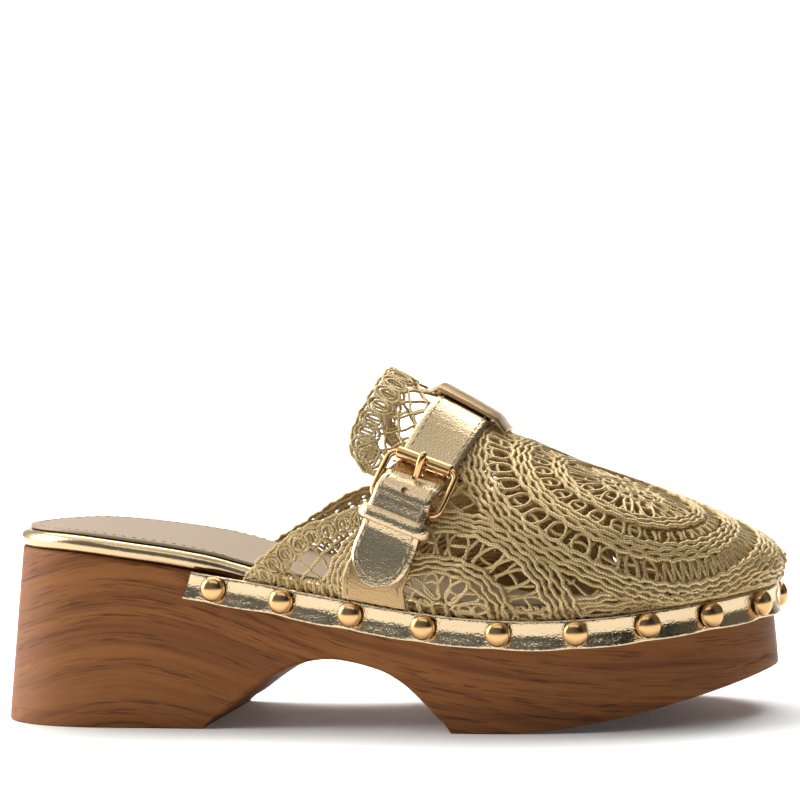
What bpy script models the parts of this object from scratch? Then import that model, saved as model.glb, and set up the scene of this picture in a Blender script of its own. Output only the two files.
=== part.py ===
"""Clog mule: wood-look block sole, lace upper held by a studded rand, buckled instep strap.

Right shoe. Sizes are in millimetres in the last's frame: x runs from the back of the seat to the
toe, -y is the lateral side, z is up from the floor. Meshes are made in metres.
"""

import math

import bpy
import numpy as np
from mathutils import Vector
from mathutils.geometry import delaunay_2d_cdt

MM = 0.001
GAP = 0.3                    # between pieces that meet face to face
LAID_GAP = 0.35              # between the upper and a strap laid on its curve

# Plan of the sole's top edge, one row for each section between the heel's back and the toe's tip
PLAN = (  # x, lateral y, medial y
    (8.0, -20.5, 20.0),
    (28.0, -29.8, 29.0),
    (60.0, -32.0, 30.5),
    (90.0, -34.5, 31.0),
    (115.0, -38.6, 33.5),
    (140.0, -43.2, 39.0),
    (165.0, -45.6, 43.8),
    (187.0, -43.4, 44.6),
    (205.0, -36.0, 42.0),
    (220.0, -25.2, 35.0),
    (231.5, -10.8, 24.0),
)
HEEL_BACK = (-2.0, 0.0)
TOE_TIP = (237.2, 7.0)

# Height of the wood's top edge along the shoe
TOP_X = (-2.0, 20.0, 41.0, 62.0, 85.0, 112.0, 136.0, 163.0, 187.0, 212.0, 240.0)
TOP_Z = (56.0, 55.4, 52.8, 49.3, 43.1, 38.1, 34.4, 32.2, 32.3, 34.2, 37.0)

# Underside: flat heel, arch, flat forefoot and toe spring
HEEL_FRONT = 63.0
ARCH_X = (63.0, 71.0, 80.0, 90.0, 102.0, 115.0, 128.0, 137.0, 144.0)
ARCH_Z = (0.0, 6.0, 12.6, 18.4, 21.8, 20.6, 15.6, 7.6, 0.0)
FOREFOOT_REAR = 144.0
SPRING_START = 158.0
SPRING_TIP = 14.4
SPRING_POWER = 1.7
TREAD = 3.3                  # thickness of the heel lift and the forefoot tread
HEEL_FLARE = 6.8             # how far the heel's foot stands back of its top
FLARE_END = 64.0             # the flare has died out here
HEEL_TAPER = 0.94            # width of the heel's foot against its top
TOE_FLARE = 2.4              # how far the toe's foot stands ahead of its top
TOE_FLARE_START = 200.0
WOOD_EDGE = 1.0

# Footbed board and sock
FOOTBED = 5.2
BEAD_OVERHANG = 0.4
BEAD_END = (60.0, 73.0)      # the rolled edge draws in under the upper between these
COVERED_INSET = 2.2
SOCK = 1.0
SOCK_INSET = 3.0

# Rand and studs
RAND_THICK = 1.1
RAND_TOP_END = 62.0
RAND_LOW_END = 59.0
RAND_HEIGHT = 8.8
RAND_LIP = 2.4               # height above the wood's top once the upper has begun
RAND_LIP_FULL = 88.0
STUD_RADIUS = 3.9
STUD_HEIGHT = 3.0
STUD_DOWN = 4.0              # stud centres below the rand's top edge
# Stud centres along the rand from its lateral end: read as far as the toe, then evenly spaced
STUDS_READ = (7.0, 29.3, 52.1, 76.0, 99.4, 122.4, 144.1, 165.1, 186.9, 208.6)
STUDS_MEDIAL = 8
STUD_END_MARGIN = 7.0

# Last surface: ridge and feather line, one row for each section
SPINE_RIDGE_X = (96.0, 120.0, 144.0, 158.0, 176.0, 197.0)
SPINE_RIDGE_Z = (122.5, 109.6, 96.4, 87.8, 78.8, 70.6)
SPINE_FEATHER_X = (73.0, 97.0, 121.0, 141.0, 168.0, 197.0)
SPINE_FULLNESS = (1.85, 1.85, 1.9, 2.0, 2.15, 2.35)
FOCUS = 197.0                # the toe's sections fan out from the ridge here
RIDGE_Y = 1.5
TOE_FULLNESS = 2.6
BULGE_BACK = 0.3             # how far the upper stands out over its feather line
BULGE_FOCUS = 1.0
BULGE_TOE = 4.0
BULGE_FOOT = 3.0             # height where the bulge begins
BULGE_HEIGHT = 9.0           # height of the widest line
WALL = 1.6

# Collar, one row for each turn: the first rows are the quarters, the later ones the tongue
COLLAR = (  # arc length up from the feather line, feather x of the lateral and the medial section
    (0.0, 76.5, 68.5),
    (5.0, 80.0, 72.0),
    (13.4, 86.0, 79.5),
    (22.0, 92.7, 86.5),
    (27.2, 100.2, 91.5),
    (30.0, 103.7, 95.0),
    (32.0, 107.0, 100.0),
    (35.0, 110.5, 106.5),
    (38.5, 111.0, 110.5),
    (41.3, 108.2, 108.0),
    (43.0, 103.8, 103.8),
    (49.2, 97.6, 97.6),
    (57.5, 95.7, 95.7),
    (67.4, 95.8, 95.8),
)

# Lace: raised bands round the vamp's medallion, fans above the rand, and gaps cut between them
BAND_CENTRE = (196.5, -10.0)
BAND_RADII = (22.0, 33.0, 46.0)
BAND_HALF = 3.2
BAND_RAISE = 0.7
BAND_EDGE = 3.5              # the bands run flat this far from the lace's edge
FAN_FEATHER_X = 143.0
FAN_UP = 5.0
FAN_RADII = (12.5, 26.3)
GAP_RINGS = ((0.0, 1), (8.0, 6), (15.8, 11), (27.5, 19), (39.5, 27))
GAP_HALF = 2.6
NET_PITCH = 9.0
NET_HALF = 2.7
MESH_PITCH = 6.2

# Straps on the instep
STRAP_STATION = 144.0        # section of the strap's centre line
STRAP_HALF = 9.25
STRAP_TIP_HALF = 9.8         # the long strap widens to this below the buckle
STRAP_FOOT_HALF = 10.4       # the short strap widens to this at the rand
STRAP_BASE_THICK = 1.2
STRAP_OVER_THICK = 1.8
STRIP_EASE = 0.45            # rounding of a strip's upper edges
STRAP_SLANT = (1.0, 0.75, 0.45, 0.2)   # how far the last rows of a strap turn level with the rand
STRAP_END = 2.7              # arc length above the feather line, just over the rand
STRAP_TIP = 8.6
SETTLED = 22.0               # below here the long strap lies flat on the short one
HEEL_BAR = 33.4
ROLLER_BAR = 48.0
CLIMB = 6.0                  # length in which the long strap rises from the roller to over the prong
WIRE = 1.1
FRAME_HALF = 11.6            # to the wire's centre
FRAME_CORNER = 3.0
ROLLER_OUTER = 1.9
ROLLER_INNER = 1.4
ROLLER_HALF = 9.2
BAR_LIFT = 0.7               # straps to bars at mid strap, for the curve across the strap
PRONG = 0.9
PRONG_HOLE = 44.2
SLOT_HALF_LENGTH = 3.3
SLOT_HALF_WIDTH = 1.5
KEEPER_CENTRE = 28.0
KEEPER_HALF = 2.6
KEEPER_THICK = 1.1
LOOP_HALF = 7.6
LOOP_FLAT = 10.0
LOOP_BACK = 12.0             # the loop turns down here, just behind the strap
LOOP_END = 15.0
LOOP_THICK = 1.2


def clear_scene():
    for old in list(bpy.data.objects):
        bpy.data.objects.remove(old, do_unlink=True)


def material(name, colour, roughness, metallic):
    made = bpy.data.materials.new(name)
    made.use_nodes = True
    shader = made.node_tree.nodes["Principled BSDF"]
    shader.inputs["Base Color"].default_value = (*colour, 1.0)
    shader.inputs["Roughness"].default_value = roughness
    shader.inputs["Metallic"].default_value = metallic
    return made


def smooth_step(t):
    t = np.clip(t, 0.0, 1.0)
    return t * t * (3.0 - 2.0 * t)


def table_curve(x, xs, ys):
    """Smooth curve through a table's points, straight beyond its ends."""
    xs = np.asarray(xs, float)
    ys = np.asarray(ys, float)
    slopes = np.gradient(ys, xs)
    x = np.asarray(x, float)
    inside = np.clip(x, xs[0], xs[-1])
    row = np.clip(np.searchsorted(xs, inside) - 1, 0, len(xs) - 2)
    width = xs[row + 1] - xs[row]
    t = (inside - xs[row]) / width
    value = ((1 + 2 * t) * (1 - t) ** 2 * ys[row] + t * (1 - t) ** 2 * width * slopes[row]
             + t * t * (3 - 2 * t) * ys[row + 1] + t * t * (t - 1) * width * slopes[row + 1])
    end_slope = np.where(x < xs[0], slopes[0], slopes[-1])
    return value + (x - inside) * end_slope


def table_slope(x, xs, ys):
    step = 0.5
    return (table_curve(x + step, xs, ys) - table_curve(x - step, xs, ys)) / (2 * step)


def closed_curve(points, count):
    """Periodic cubic curve through points, evenly sampled by arc length."""
    points = np.asarray(points, float)
    chords = np.linalg.norm(np.roll(points, -1, axis=0) - points, axis=1)
    total = len(points)
    matrix = np.zeros((total, total))
    right = np.zeros((total, 2))
    for row in range(total):
        before = chords[row - 1]
        after = chords[row]
        following = (row + 1) % total
        matrix[row, row - 1] += after
        matrix[row, row] += 2 * (before + after)
        matrix[row, following] += before
        right[row] = 3 * (before * (points[following] - points[row]) / after
                          + after * (points[row] - points[row - 1]) / before)
    tangents = np.linalg.solve(matrix, right)
    pieces = []
    t = np.linspace(0.0, 1.0, 200, endpoint=False)[:, None]
    for row in range(total):
        following = (row + 1) % total
        chord = chords[row]
        pieces.append((1 + 2 * t) * (1 - t) ** 2 * points[row]
                      + t * (1 - t) ** 2 * chord * tangents[row]
                      + t * t * (3 - 2 * t) * points[following]
                      + t * t * (t - 1) * chord * tangents[following])
    dense = np.concatenate(pieces + [points[:1]])
    lengths = np.concatenate([[0.0], np.cumsum(np.linalg.norm(np.diff(dense, axis=0), axis=1))])
    even = np.linspace(0.0, lengths[-1], count, endpoint=False)
    return np.stack([np.interp(even, lengths, dense[:, k]) for k in range(2)], axis=1)


class Plan:
    """Top edge of the sole seen from above, from the heel's back round the toe and home."""

    def __init__(self):
        lateral = [(x, y) for x, y, _ in PLAN]
        medial = [(x, y) for x, _, y in reversed(PLAN)]
        loop = closed_curve([HEEL_BACK] + lateral + [TOE_TIP] + medial, 2400)
        loop = np.roll(loop, -int(np.argmin(loop[:, 0])), axis=0)
        self.points = np.concatenate([loop, loop[:1]])
        steps = np.linalg.norm(np.diff(self.points, axis=0), axis=1)
        self.lengths = np.concatenate([[0.0], np.cumsum(steps)])
        tangent = np.gradient(self.points, self.lengths, axis=0)
        tangent /= np.linalg.norm(tangent, axis=1)[:, None]
        self.normals = np.stack([tangent[:, 1], -tangent[:, 0]], axis=1)
        self.tip = int(np.argmax(self.points[:, 0]))
        self.back = self.points[0, 0]
        self.front = self.points[self.tip, 0]

    def at(self, length):
        return np.stack([np.interp(length, self.lengths, self.points[:, k]) for k in range(2)], -1)

    def normal(self, length):
        return np.stack([np.interp(length, self.lengths, self.normals[:, k]) for k in range(2)], -1)

    def length_at_x(self, x, medial):
        head = slice(None, self.tip + 1)
        tail = slice(self.tip, None)
        on_lateral = np.interp(x, self.points[head, 0], self.lengths[head])
        on_medial = np.interp(x, self.points[tail, 0][::-1], self.lengths[tail][::-1])
        return np.where(medial, on_medial, on_lateral)

    def side(self, x, medial):
        return self.at(self.length_at_x(x, medial))[..., 1]


PLAN_EDGE = Plan()


def wood_top(x):
    return table_curve(x, TOP_X, TOP_Z)


def arch(x):
    return table_curve(x, ARCH_X, ARCH_Z)


def tread_bottom(x):
    reach = np.clip((x - SPRING_START) / (TOE_TIP[0] - SPRING_START), 0.0, None)
    return SPRING_TIP * reach ** SPRING_POWER


def arch_x_at(height, low, high):
    """Where the arch reaches a height, between two x."""
    xs = np.linspace(low, high, 400)
    return float(xs[np.argmin(np.abs(arch(xs) - height))])


def oriented(vertices, faces):
    """Turn all faces round if the body is inside out."""
    volume = 0.0
    for face in faces:
        first = vertices[face[0]]
        for second, third in zip(face[1:-1], face[2:]):
            volume += float(np.dot(first, np.cross(vertices[second], vertices[third])))
    return faces if volume > 0 else [tuple(reversed(face)) for face in faces]


def add_body(name, vertices, faces, finish, sharp_degrees=40.0):
    vertices = np.asarray(vertices, float)
    faces = oriented(vertices, [tuple(int(k) for k in face) for face in faces])
    mesh = bpy.data.meshes.new(name)
    mesh.from_pydata([tuple(p * MM) for p in vertices], [], faces)
    mesh.update()
    mesh.shade_smooth()
    mesh.set_sharp_from_angle(angle=math.radians(sharp_degrees))
    mesh.materials.append(finish)
    body = bpy.data.objects.new(name, mesh)
    bpy.context.scene.collection.objects.link(body)
    return body


def loft_faces(ring_count, ring_size, closed=False):
    faces = []
    spans = ring_count if closed else ring_count - 1
    for row in range(spans):
        here = row * ring_size
        there = ((row + 1) % ring_count) * ring_size
        for k in range(ring_size):
            after = (k + 1) % ring_size
            faces.append((here + k, here + after, there + after, there + k))
    if not closed:
        faces.append(tuple(reversed(range(ring_size))))
        faces.append(tuple((ring_count - 1) * ring_size + k for k in range(ring_size)))
    return faces


def add_loft(name, rings, finish, closed=False):
    rings = [np.asarray(ring, float) for ring in rings]
    faces = loft_faces(len(rings), len(rings[0]), closed)
    return add_body(name, np.concatenate(rings), faces, finish)


def end_weighted(low, high, count):
    """Stations along x, close together at both round ends."""
    turn = np.linspace(0.06, math.pi - 0.06, count)
    return low + (high - low) * (1 - np.cos(turn)) / 2


def wood_foot(x):
    """Plan of the block's foot below a section of the top edge: its x, and its width's scale."""
    away = np.clip((FLARE_END - x) / (FLARE_END - PLAN_EDGE.back), 0.0, 1.0)
    ahead = smooth_step((x - TOE_FLARE_START) / (PLAN_EDGE.front - TOE_FLARE_START))
    return x - HEEL_FLARE * away + TOE_FLARE * ahead, 1.0 - (1.0 - HEEL_TAPER) * smooth_step(away * 3.0)


def wood_lean(x, depth):
    """How far ahead of its top edge the block's side stands, a depth below that edge."""
    return (float(wood_foot(x)[0]) - x) * max(depth, 0.0) / float(wood_top(x))


def edge_ring(x_top, x_foot, half_top, half_foot, z_top, z_foot, edge):
    """Eight points round one section, with the long edges eased; halves are lateral and medial y."""
    ease_top = min(edge, 0.3 * (half_top[1] - half_top[0]))
    ease_foot = min(edge, 0.3 * (half_foot[1] - half_foot[0]))
    lift = min(edge, 0.3 * (z_top - z_foot))
    return [
        (x_top, half_top[0] + ease_top, z_top),
        (x_top, half_top[0], z_top - lift),
        (x_foot, half_foot[0], z_foot + lift),
        (x_foot, half_foot[0] + ease_foot, z_foot),
        (x_foot, half_foot[1] - ease_foot, z_foot),
        (x_foot, half_foot[1], z_foot + lift),
        (x_top, half_top[1], z_top - lift),
        (x_top, half_top[1] - ease_top, z_top),
    ]


def wood_halves(x):
    return (float(PLAN_EDGE.side(x, False)), float(PLAN_EDGE.side(x, True)))


def foot_section(x):
    """Foot of the block below the top edge's section at x: its x and its two half widths."""
    x_foot, scale = wood_foot(x)
    lateral, medial = wood_halves(x)
    return float(x_foot), (lateral * float(scale), medial * float(scale))


def section_between(x, low_share):
    """Section of the block's side part way down, 0 at the top edge and 1 at the foot."""
    x_foot, foot = foot_section(x)
    top = wood_halves(x)
    place = x + (x_foot - x) * low_share
    return place, tuple(a + (b - a) * low_share for a, b in zip(top, foot))


def make_sole(finish):
    layer = TREAD + GAP
    breast = arch_x_at(layer, HEEL_FRONT, 80.0)
    ball = arch_x_at(layer, 130.0, FOREFOOT_REAR)
    stations = list(end_weighted(PLAN_EDGE.back, PLAN_EDGE.front, 46))
    stations += [breast, ball, 74.0, 80.0, 85.0, 124.0, 132.0, 137.0]
    rings = []
    for x in sorted(stations):
        if breast <= x <= ball:
            foot = float(arch(x))
        else:
            foot = float(tread_bottom(x)) + layer
        top = float(wood_top(x))
        share = (top - foot) / top
        x_foot, half_foot = section_between(x, share)
        rings.append(edge_ring(x, x_foot, wood_halves(x), half_foot, top, foot, WOOD_EDGE))
    return add_loft("sole", rings, finish)


def tread_ring(x_top, x_low):
    """Section of a wearing layer under the block, its top and foot at different x."""
    z_low = float(tread_bottom(x_low))
    z_top = float(tread_bottom(x_top)) + TREAD
    _, low = foot_section(x_low)
    _, top = section_between(x_top, 1.0 - TREAD / float(wood_top(x_top)))
    low_x, _ = foot_section(x_low)
    top_x, _ = section_between(x_top, 1.0 - TREAD / float(wood_top(x_top)))
    return edge_ring(top_x, low_x, top, low, z_top, z_low, 0.4)


def make_heel_lift(finish):
    top_front = arch_x_at(TREAD, HEEL_FRONT, 80.0)
    share = (1 - np.cos(np.linspace(0.06, math.pi / 2, 18)))
    rings = []
    for part in share:
        low = PLAN_EDGE.back + (HEEL_FRONT - PLAN_EDGE.back) * part
        top = PLAN_EDGE.back + (top_front - PLAN_EDGE.back) * part
        rings.append(tread_ring(top, low))
    return add_loft("heel_lift", rings, finish)


def make_forefoot_tread(finish):
    top_rear = arch_x_at(TREAD, 130.0, FOREFOOT_REAR)
    share = np.sin(np.linspace(0.0, math.pi / 2 - 0.06, 24))
    flat = (SPRING_START - FOREFOOT_REAR) / (PLAN_EDGE.front - FOREFOOT_REAR)
    share = np.sort(np.append(share, flat))
    rings = []
    for part in share:
        low = FOREFOOT_REAR + (PLAN_EDGE.front - FOREFOOT_REAR) * part
        top = top_rear + (PLAN_EDGE.front - top_rear) * part
        rings.append(tread_ring(top, low))
    return add_loft("forefoot_tread", rings, finish)


def footbed_inset(x):
    return -BEAD_OVERHANG + (COVERED_INSET + BEAD_OVERHANG) * smooth_step(
        (x - BEAD_END[0]) / (BEAD_END[1] - BEAD_END[0]))


def inset_plan(inset, count):
    """Lateral and medial points of the plan drawn in by an inset that may vary along x."""
    margin = 1.2
    rows = []
    for x in end_weighted(PLAN_EDGE.back, PLAN_EDGE.front, count):
        row = []
        for medial in (False, True):
            length = PLAN_EDGE.length_at_x(x, medial)
            point = PLAN_EDGE.at(length) - PLAN_EDGE.normal(length) * inset(x)
            row.append(point)
        if row[1][1] - row[0][1] > margin:
            rows.append(row)
    return rows


def make_footbed(finish):
    """Board with a half-round edge, four points down each side."""
    turns = np.linspace(-math.pi / 2, math.pi / 2, 4)
    radius = FOOTBED / 2
    rings = []
    for lateral, medial in inset_plan(footbed_inset, 42):
        roll = min(radius, 0.4 * (medial[1] - lateral[1]))
        ring = []
        for turn in turns:
            z = float(wood_top(lateral[0])) + GAP + radius + radius * math.sin(turn)
            ring.append((lateral[0], lateral[1] + roll * (1 - math.cos(turn)), z))
        for turn in reversed(turns):
            z = float(wood_top(medial[0])) + GAP + radius + radius * math.sin(turn)
            ring.append((medial[0], medial[1] - roll * (1 - math.cos(turn)), z))
        rings.append(ring)
    return add_loft("footbed", rings, finish)


def make_sock(finish):
    rings = []
    for lateral, medial in inset_plan(lambda x: footbed_inset(x) + SOCK_INSET, 40):
        low = [float(wood_top(p[0])) + GAP + FOOTBED + GAP for p in (lateral, medial)]
        rings.append([
            (lateral[0], lateral[1], low[0]),
            (medial[0], medial[1], low[1]),
            (medial[0], medial[1] - 0.4, low[1] + SOCK),
            (lateral[0], lateral[1] + 0.4, low[0] + SOCK),
        ])
    return add_loft("sock", rings, finish)


def rand_top(x):
    return wood_top(x) + RAND_LIP * smooth_step((x - RAND_TOP_END) / (RAND_LIP_FULL - RAND_TOP_END))


def rand_path(x_end, count):
    start = float(PLAN_EDGE.length_at_x(x_end, False))
    finish = float(PLAN_EDGE.length_at_x(x_end, True))
    return np.linspace(start, finish, count)


def make_rand(finish):
    count = 72
    ease = 0.5
    rings = []
    for high, low in zip(rand_path(RAND_TOP_END, count), rand_path(RAND_LOW_END, count)):
        top_point = PLAN_EDGE.at(high)
        low_point = PLAN_EDGE.at(low)
        z_top = float(rand_top(top_point[0]))
        z_low = float(rand_top(low_point[0])) - RAND_HEIGHT
        low_point[0] += wood_lean(low_point[0], float(wood_top(low_point[0])) - z_low)
        offsets = ((GAP, z_low), (GAP + RAND_THICK - ease, z_low), (GAP + RAND_THICK, z_low + ease))
        ring = [(*(low_point + PLAN_EDGE.normal(low) * out), z) for out, z in offsets]
        offsets = ((GAP + RAND_THICK, z_top - ease), (GAP + RAND_THICK - ease, z_top), (GAP, z_top))
        ring += [(*(top_point + PLAN_EDGE.normal(high) * out), z) for out, z in offsets]
        rings.append(ring)
    return add_loft("rand", rings, finish)


def make_studs(finish):
    """Domed nails along the rand, from its lateral end round the toe to its medial end."""
    start = float(PLAN_EDGE.length_at_x(RAND_TOP_END, False))
    end = float(PLAN_EDGE.length_at_x(RAND_TOP_END, True)) - STUD_END_MARGIN
    seen = start + np.array(STUDS_READ)
    beyond = np.linspace(seen[-1], end, STUDS_MEDIAL + 1)[1:]
    sides = 10
    profile = ((1.0, 0.0), (1.0, 0.22), (0.8, 0.66), (0.42, 0.93))
    for number, length in enumerate(np.concatenate([seen, beyond]), start=1):
        centre = PLAN_EDGE.at(length)
        out = np.append(PLAN_EDGE.normal(length), 0.0)
        along = np.array([-out[1], out[0], 0.0])
        up = np.array([0.0, 0.0, 1.0])
        seat = np.array([*centre, float(rand_top(centre[0])) - STUD_DOWN])
        seat = seat + out * (GAP + RAND_THICK + GAP)
        rings = []
        for radius, rise in profile:
            turns = np.arange(sides) * 2 * math.pi / sides
            rings.append([seat + out * rise * STUD_HEIGHT + STUD_RADIUS * radius
                          * (along * math.cos(a) + up * math.sin(a)) for a in turns])
        vertices = np.concatenate(rings + [[seat + out * STUD_HEIGHT]])
        faces = loft_faces(len(rings), sides)[:-1]
        crown = len(vertices) - 1
        last = (len(rings) - 1) * sides
        faces += [(last + k, last + (k + 1) % sides, crown) for k in range(sides)]
        add_body(f"stud_{number:02d}", vertices, faces, finish)


class Last:
    """Outer surface of the upper over a flat chart.

    Chart X is the ridge's x back of the focus, chart Y the arc length from the ridge, negative on
    the lateral side. In front of the focus the chart is polar about it, so the toe fans out.
    """

    def __init__(self):
        start = float(PLAN_EDGE.length_at_x(FOCUS, False))
        end = float(PLAN_EDGE.length_at_x(FOCUS, True))
        self.fan = np.linspace(start, end, 400)
        reach = PLAN_EDGE.at(self.fan) - np.array([FOCUS, RIDGE_Y])
        self.fan_angle = np.arctan2(reach[:, 1], reach[:, 0])

    def section(self, chart):
        """Sampled section line through each chart point, and the arc length along it."""
        chart_x = chart[:, 0]
        chart_y = chart[:, 1]
        in_fan = chart_x > FOCUS
        spine = np.minimum(chart_x, FOCUS)
        angle = np.arctan2(chart_y, np.maximum(chart_x - FOCUS, 0.0))
        feather_x = table_curve(spine, SPINE_RIDGE_X, SPINE_FEATHER_X)
        straight = PLAN_EDGE.length_at_x(feather_x, chart_y > 0)
        length = np.where(in_fan, np.interp(angle, self.fan_angle, self.fan), straight)
        feather = PLAN_EDGE.at(length)
        out = PLAN_EDGE.normal(length)
        forward = np.where(in_fan, np.cos(angle), 0.0)
        full = table_curve(spine, SPINE_RIDGE_X, SPINE_FULLNESS)
        full = full + (TOE_FULLNESS - full) * forward ** 2
        past_strap = smooth_step((spine - STRAP_STATION) / (FOCUS - STRAP_STATION))
        bulge = BULGE_BACK + (BULGE_FOCUS - BULGE_BACK) * past_strap
        bulge = bulge + (BULGE_TOE - bulge) * forward
        slope = table_slope(spine, SPINE_RIDGE_X, SPINE_RIDGE_Z)
        ridge_z = table_curve(spine, SPINE_RIDGE_X, SPINE_RIDGE_Z)
        feather_z = wood_top(feather[:, 0]) + GAP
        wide = feather + out * bulge[:, None]
        ridge = np.stack([spine, np.full(len(spine), RIDGE_Y)], axis=1)
        reach = wide - ridge
        turn = np.linspace(0.0, math.pi / 2, 44)[None, :]
        across = np.sin(turn) ** (2 / full[:, None])
        down = 1 - np.cos(turn).clip(0.0) ** (2 / full[:, None])
        drop = ridge_z + slope * reach[:, 0] - feather_z - BULGE_HEIGHT
        fanned = (1 - (1 - forward) ** 4)[:, None]
        ahead = reach[:, :1] * (down + (across - down) * fanned)
        plan = ridge[:, None, :] + np.stack([ahead, reach[:, 1:] * across], axis=2)
        height = ridge_z[:, None] + slope[:, None] * ahead - drop[:, None] * down
        rise = np.linspace(BULGE_HEIGHT, 0.0, 10)[1:]
        swell = bulge[:, None] * smooth_step((rise - BULGE_FOOT) / (BULGE_HEIGHT - BULGE_FOOT))[None, :]
        foot = feather[:, None, :] + out[:, None, :] * swell[..., None]
        plan = np.concatenate([plan, foot], axis=1)
        height = np.concatenate([height, feather_z[:, None] + rise[None, :]], axis=1)
        line = np.concatenate([plan, height[..., None]], axis=2)
        steps = np.linalg.norm(np.diff(line, axis=1), axis=2)
        lengths = np.concatenate([np.zeros((len(line), 1)), np.cumsum(steps, axis=1)], axis=1)
        radius = np.where(in_fan, np.hypot(chart_x - FOCUS, chart_y), np.abs(chart_y))
        return line, lengths, radius

    def point(self, chart):
        line, lengths, radius = self.section(np.asarray(chart, float))
        row = np.clip((lengths <= radius[:, None]).sum(axis=1) - 1, 0, lengths.shape[1] - 2)
        pick = np.arange(len(row))
        part = (radius - lengths[pick, row]) / (lengths[pick, row + 1] - lengths[pick, row])
        return line[pick, row] + (line[pick, row + 1] - line[pick, row]) * part[:, None]

    def girth(self, chart):
        """Arc length from the ridge to the feather line, through each chart point."""
        return self.section(np.asarray(chart, float))[1][:, -1]

    def frame(self, chart):
        """Point, outward normal and the two chart derivatives."""
        chart = np.asarray(chart, float)
        step = 0.4
        by_x = (self.point(chart + (step, 0.0)) - self.point(chart - (step, 0.0))) / (2 * step)
        by_y = (self.point(chart + (0.0, step)) - self.point(chart - (0.0, step))) / (2 * step)
        normal = np.cross(by_x, by_y)
        normal /= np.linalg.norm(normal, axis=1)[:, None]
        return self.point(chart), normal, by_x, by_y

    def chart_of(self, target, guess):
        """Chart points whose surface points lie nearest the targets."""
        chart = np.array(guess, float)
        for _ in range(6):
            point, _, by_x, by_y = self.frame(chart)
            miss = target - point
            xx = (by_x * by_x).sum(axis=1)
            xy = (by_x * by_y).sum(axis=1)
            yy = (by_y * by_y).sum(axis=1)
            bx = (by_x * miss).sum(axis=1)
            by = (by_y * miss).sum(axis=1)
            scale = xx * yy - xy * xy
            chart[:, 0] += (bx * yy - by * xy) / scale
            chart[:, 1] += (by * xx - bx * xy) / scale
        return chart


LAST = Last()


def station_of_feather(feather_x):
    spine = np.linspace(SPINE_RIDGE_X[0] - 10, FOCUS, 1200)
    return np.interp(feather_x, table_curve(spine, SPINE_RIDGE_X, SPINE_FEATHER_X), spine)


def chart_up(station, up, side):
    """Chart point on a straight section, an arc length up from the feather line."""
    station = np.atleast_1d(np.asarray(station, float))
    up = np.broadcast_to(np.asarray(up, float), station.shape)
    probe = np.stack([station, np.full(len(station), float(side))], axis=1)
    return np.stack([station, side * (LAST.girth(probe) - up)], axis=1)


def even_line(points, pitch):
    """Chart line through points, smoothed and evenly spaced."""
    points = np.asarray(points, float)
    steps = np.concatenate([[0.0], np.cumsum(np.linalg.norm(np.diff(points, axis=0), axis=1))])
    fine = np.linspace(0.0, steps[-1], 600)
    line = np.stack([table_curve(fine, steps, points[:, k]) for k in range(2)], axis=1)
    lengths = np.concatenate([[0.0], np.cumsum(np.linalg.norm(np.diff(line, axis=0), axis=1))])
    even = np.linspace(0.0, lengths[-1], max(2, round(lengths[-1] / pitch) + 1))
    return np.stack([np.interp(even, lengths, line[:, k]) for k in range(2)], axis=1)


def collar_line(side):
    rows = np.asarray(COLLAR)
    feather_x = rows[:, 1] if side < 0 else rows[:, 2]
    turns = chart_up(station_of_feather(feather_x), rows[:, 0], side)
    crown = np.array([[turns[-1, 0] + 0.6, 0.0]])
    return even_line(np.concatenate([turns, crown]), 4.0)


def feather_line(up):
    """Chart line a height up from the feather line, from the lateral back round the toe."""
    ends = [float(station_of_feather(x)) for x in COLLAR[0][1:]]
    lateral = chart_up(np.arange(ends[0], FOCUS - 2.0, MESH_PITCH), up, -1.0)
    medial = chart_up(np.arange(ends[1], FOCUS - 2.0, MESH_PITCH)[::-1], up, 1.0)
    angles = np.linspace(-math.pi / 2, math.pi / 2, 34)
    ways = np.stack([np.cos(angles), np.sin(angles)], axis=1)
    focus = np.array([FOCUS + 1e-3, 0.0])
    reach = LAST.girth(focus + ways) - up
    return np.concatenate([lateral, focus + ways * reach[:, None], medial])


def upper_outline():
    """Edge of the lace in the chart: the feather line, then the collar from medial to lateral."""
    over = collar_line(1.0)[1:]
    under = collar_line(-1.0)[::-1][1:-1]
    return np.concatenate([feather_line(0.0), over, under])


def inside_polygon(points, polygon):
    x = points[:, 0][:, None]
    y = points[:, 1][:, None]
    x0, y0 = polygon[:, 0][None, :], polygon[:, 1][None, :]
    x1, y1 = np.roll(polygon[:, 0], -1)[None, :], np.roll(polygon[:, 1], -1)[None, :]
    spans = (y0 > y) != (y1 > y)
    rise = np.where(y1 == y0, 1.0, y1 - y0)
    crossing = x < (x1 - x0) * (y - y0) / rise + x0
    return (spans & crossing).sum(axis=1) % 2 == 1


def edge_distance(points, polygon):
    start = polygon[None, :, :]
    span = np.roll(polygon, -1, axis=0)[None, :, :] - start
    to = points[:, None, :] - start
    t = np.clip((to * span).sum(axis=2) / (span * span).sum(axis=2), 0.0, 1.0)
    return np.linalg.norm(to - span * t[..., None], axis=2).min(axis=1)


def under_straps(chart, margin):
    """True where the strap or the instep loop lies over the lace."""
    on_strap = np.abs(chart[:, 0] - STRAP_STATION) < STRAP_HALF + margin
    on_loop = (np.abs(chart[:, 0] - STRAP_STATION) < LOOP_END + margin) & (
        np.abs(chart[:, 1]) < LOOP_HALF + margin)
    on_frame = (np.abs(chart[:, 0] - STRAP_STATION) < FRAME_HALF + 3 + margin) & (chart[:, 1] < 0)
    return on_strap | on_loop | on_frame


def fan_centres():
    station = station_of_feather(FAN_FEATHER_X)
    return [chart_up(station, FAN_UP, side)[0] for side in (-1.0, 1.0)]


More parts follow.
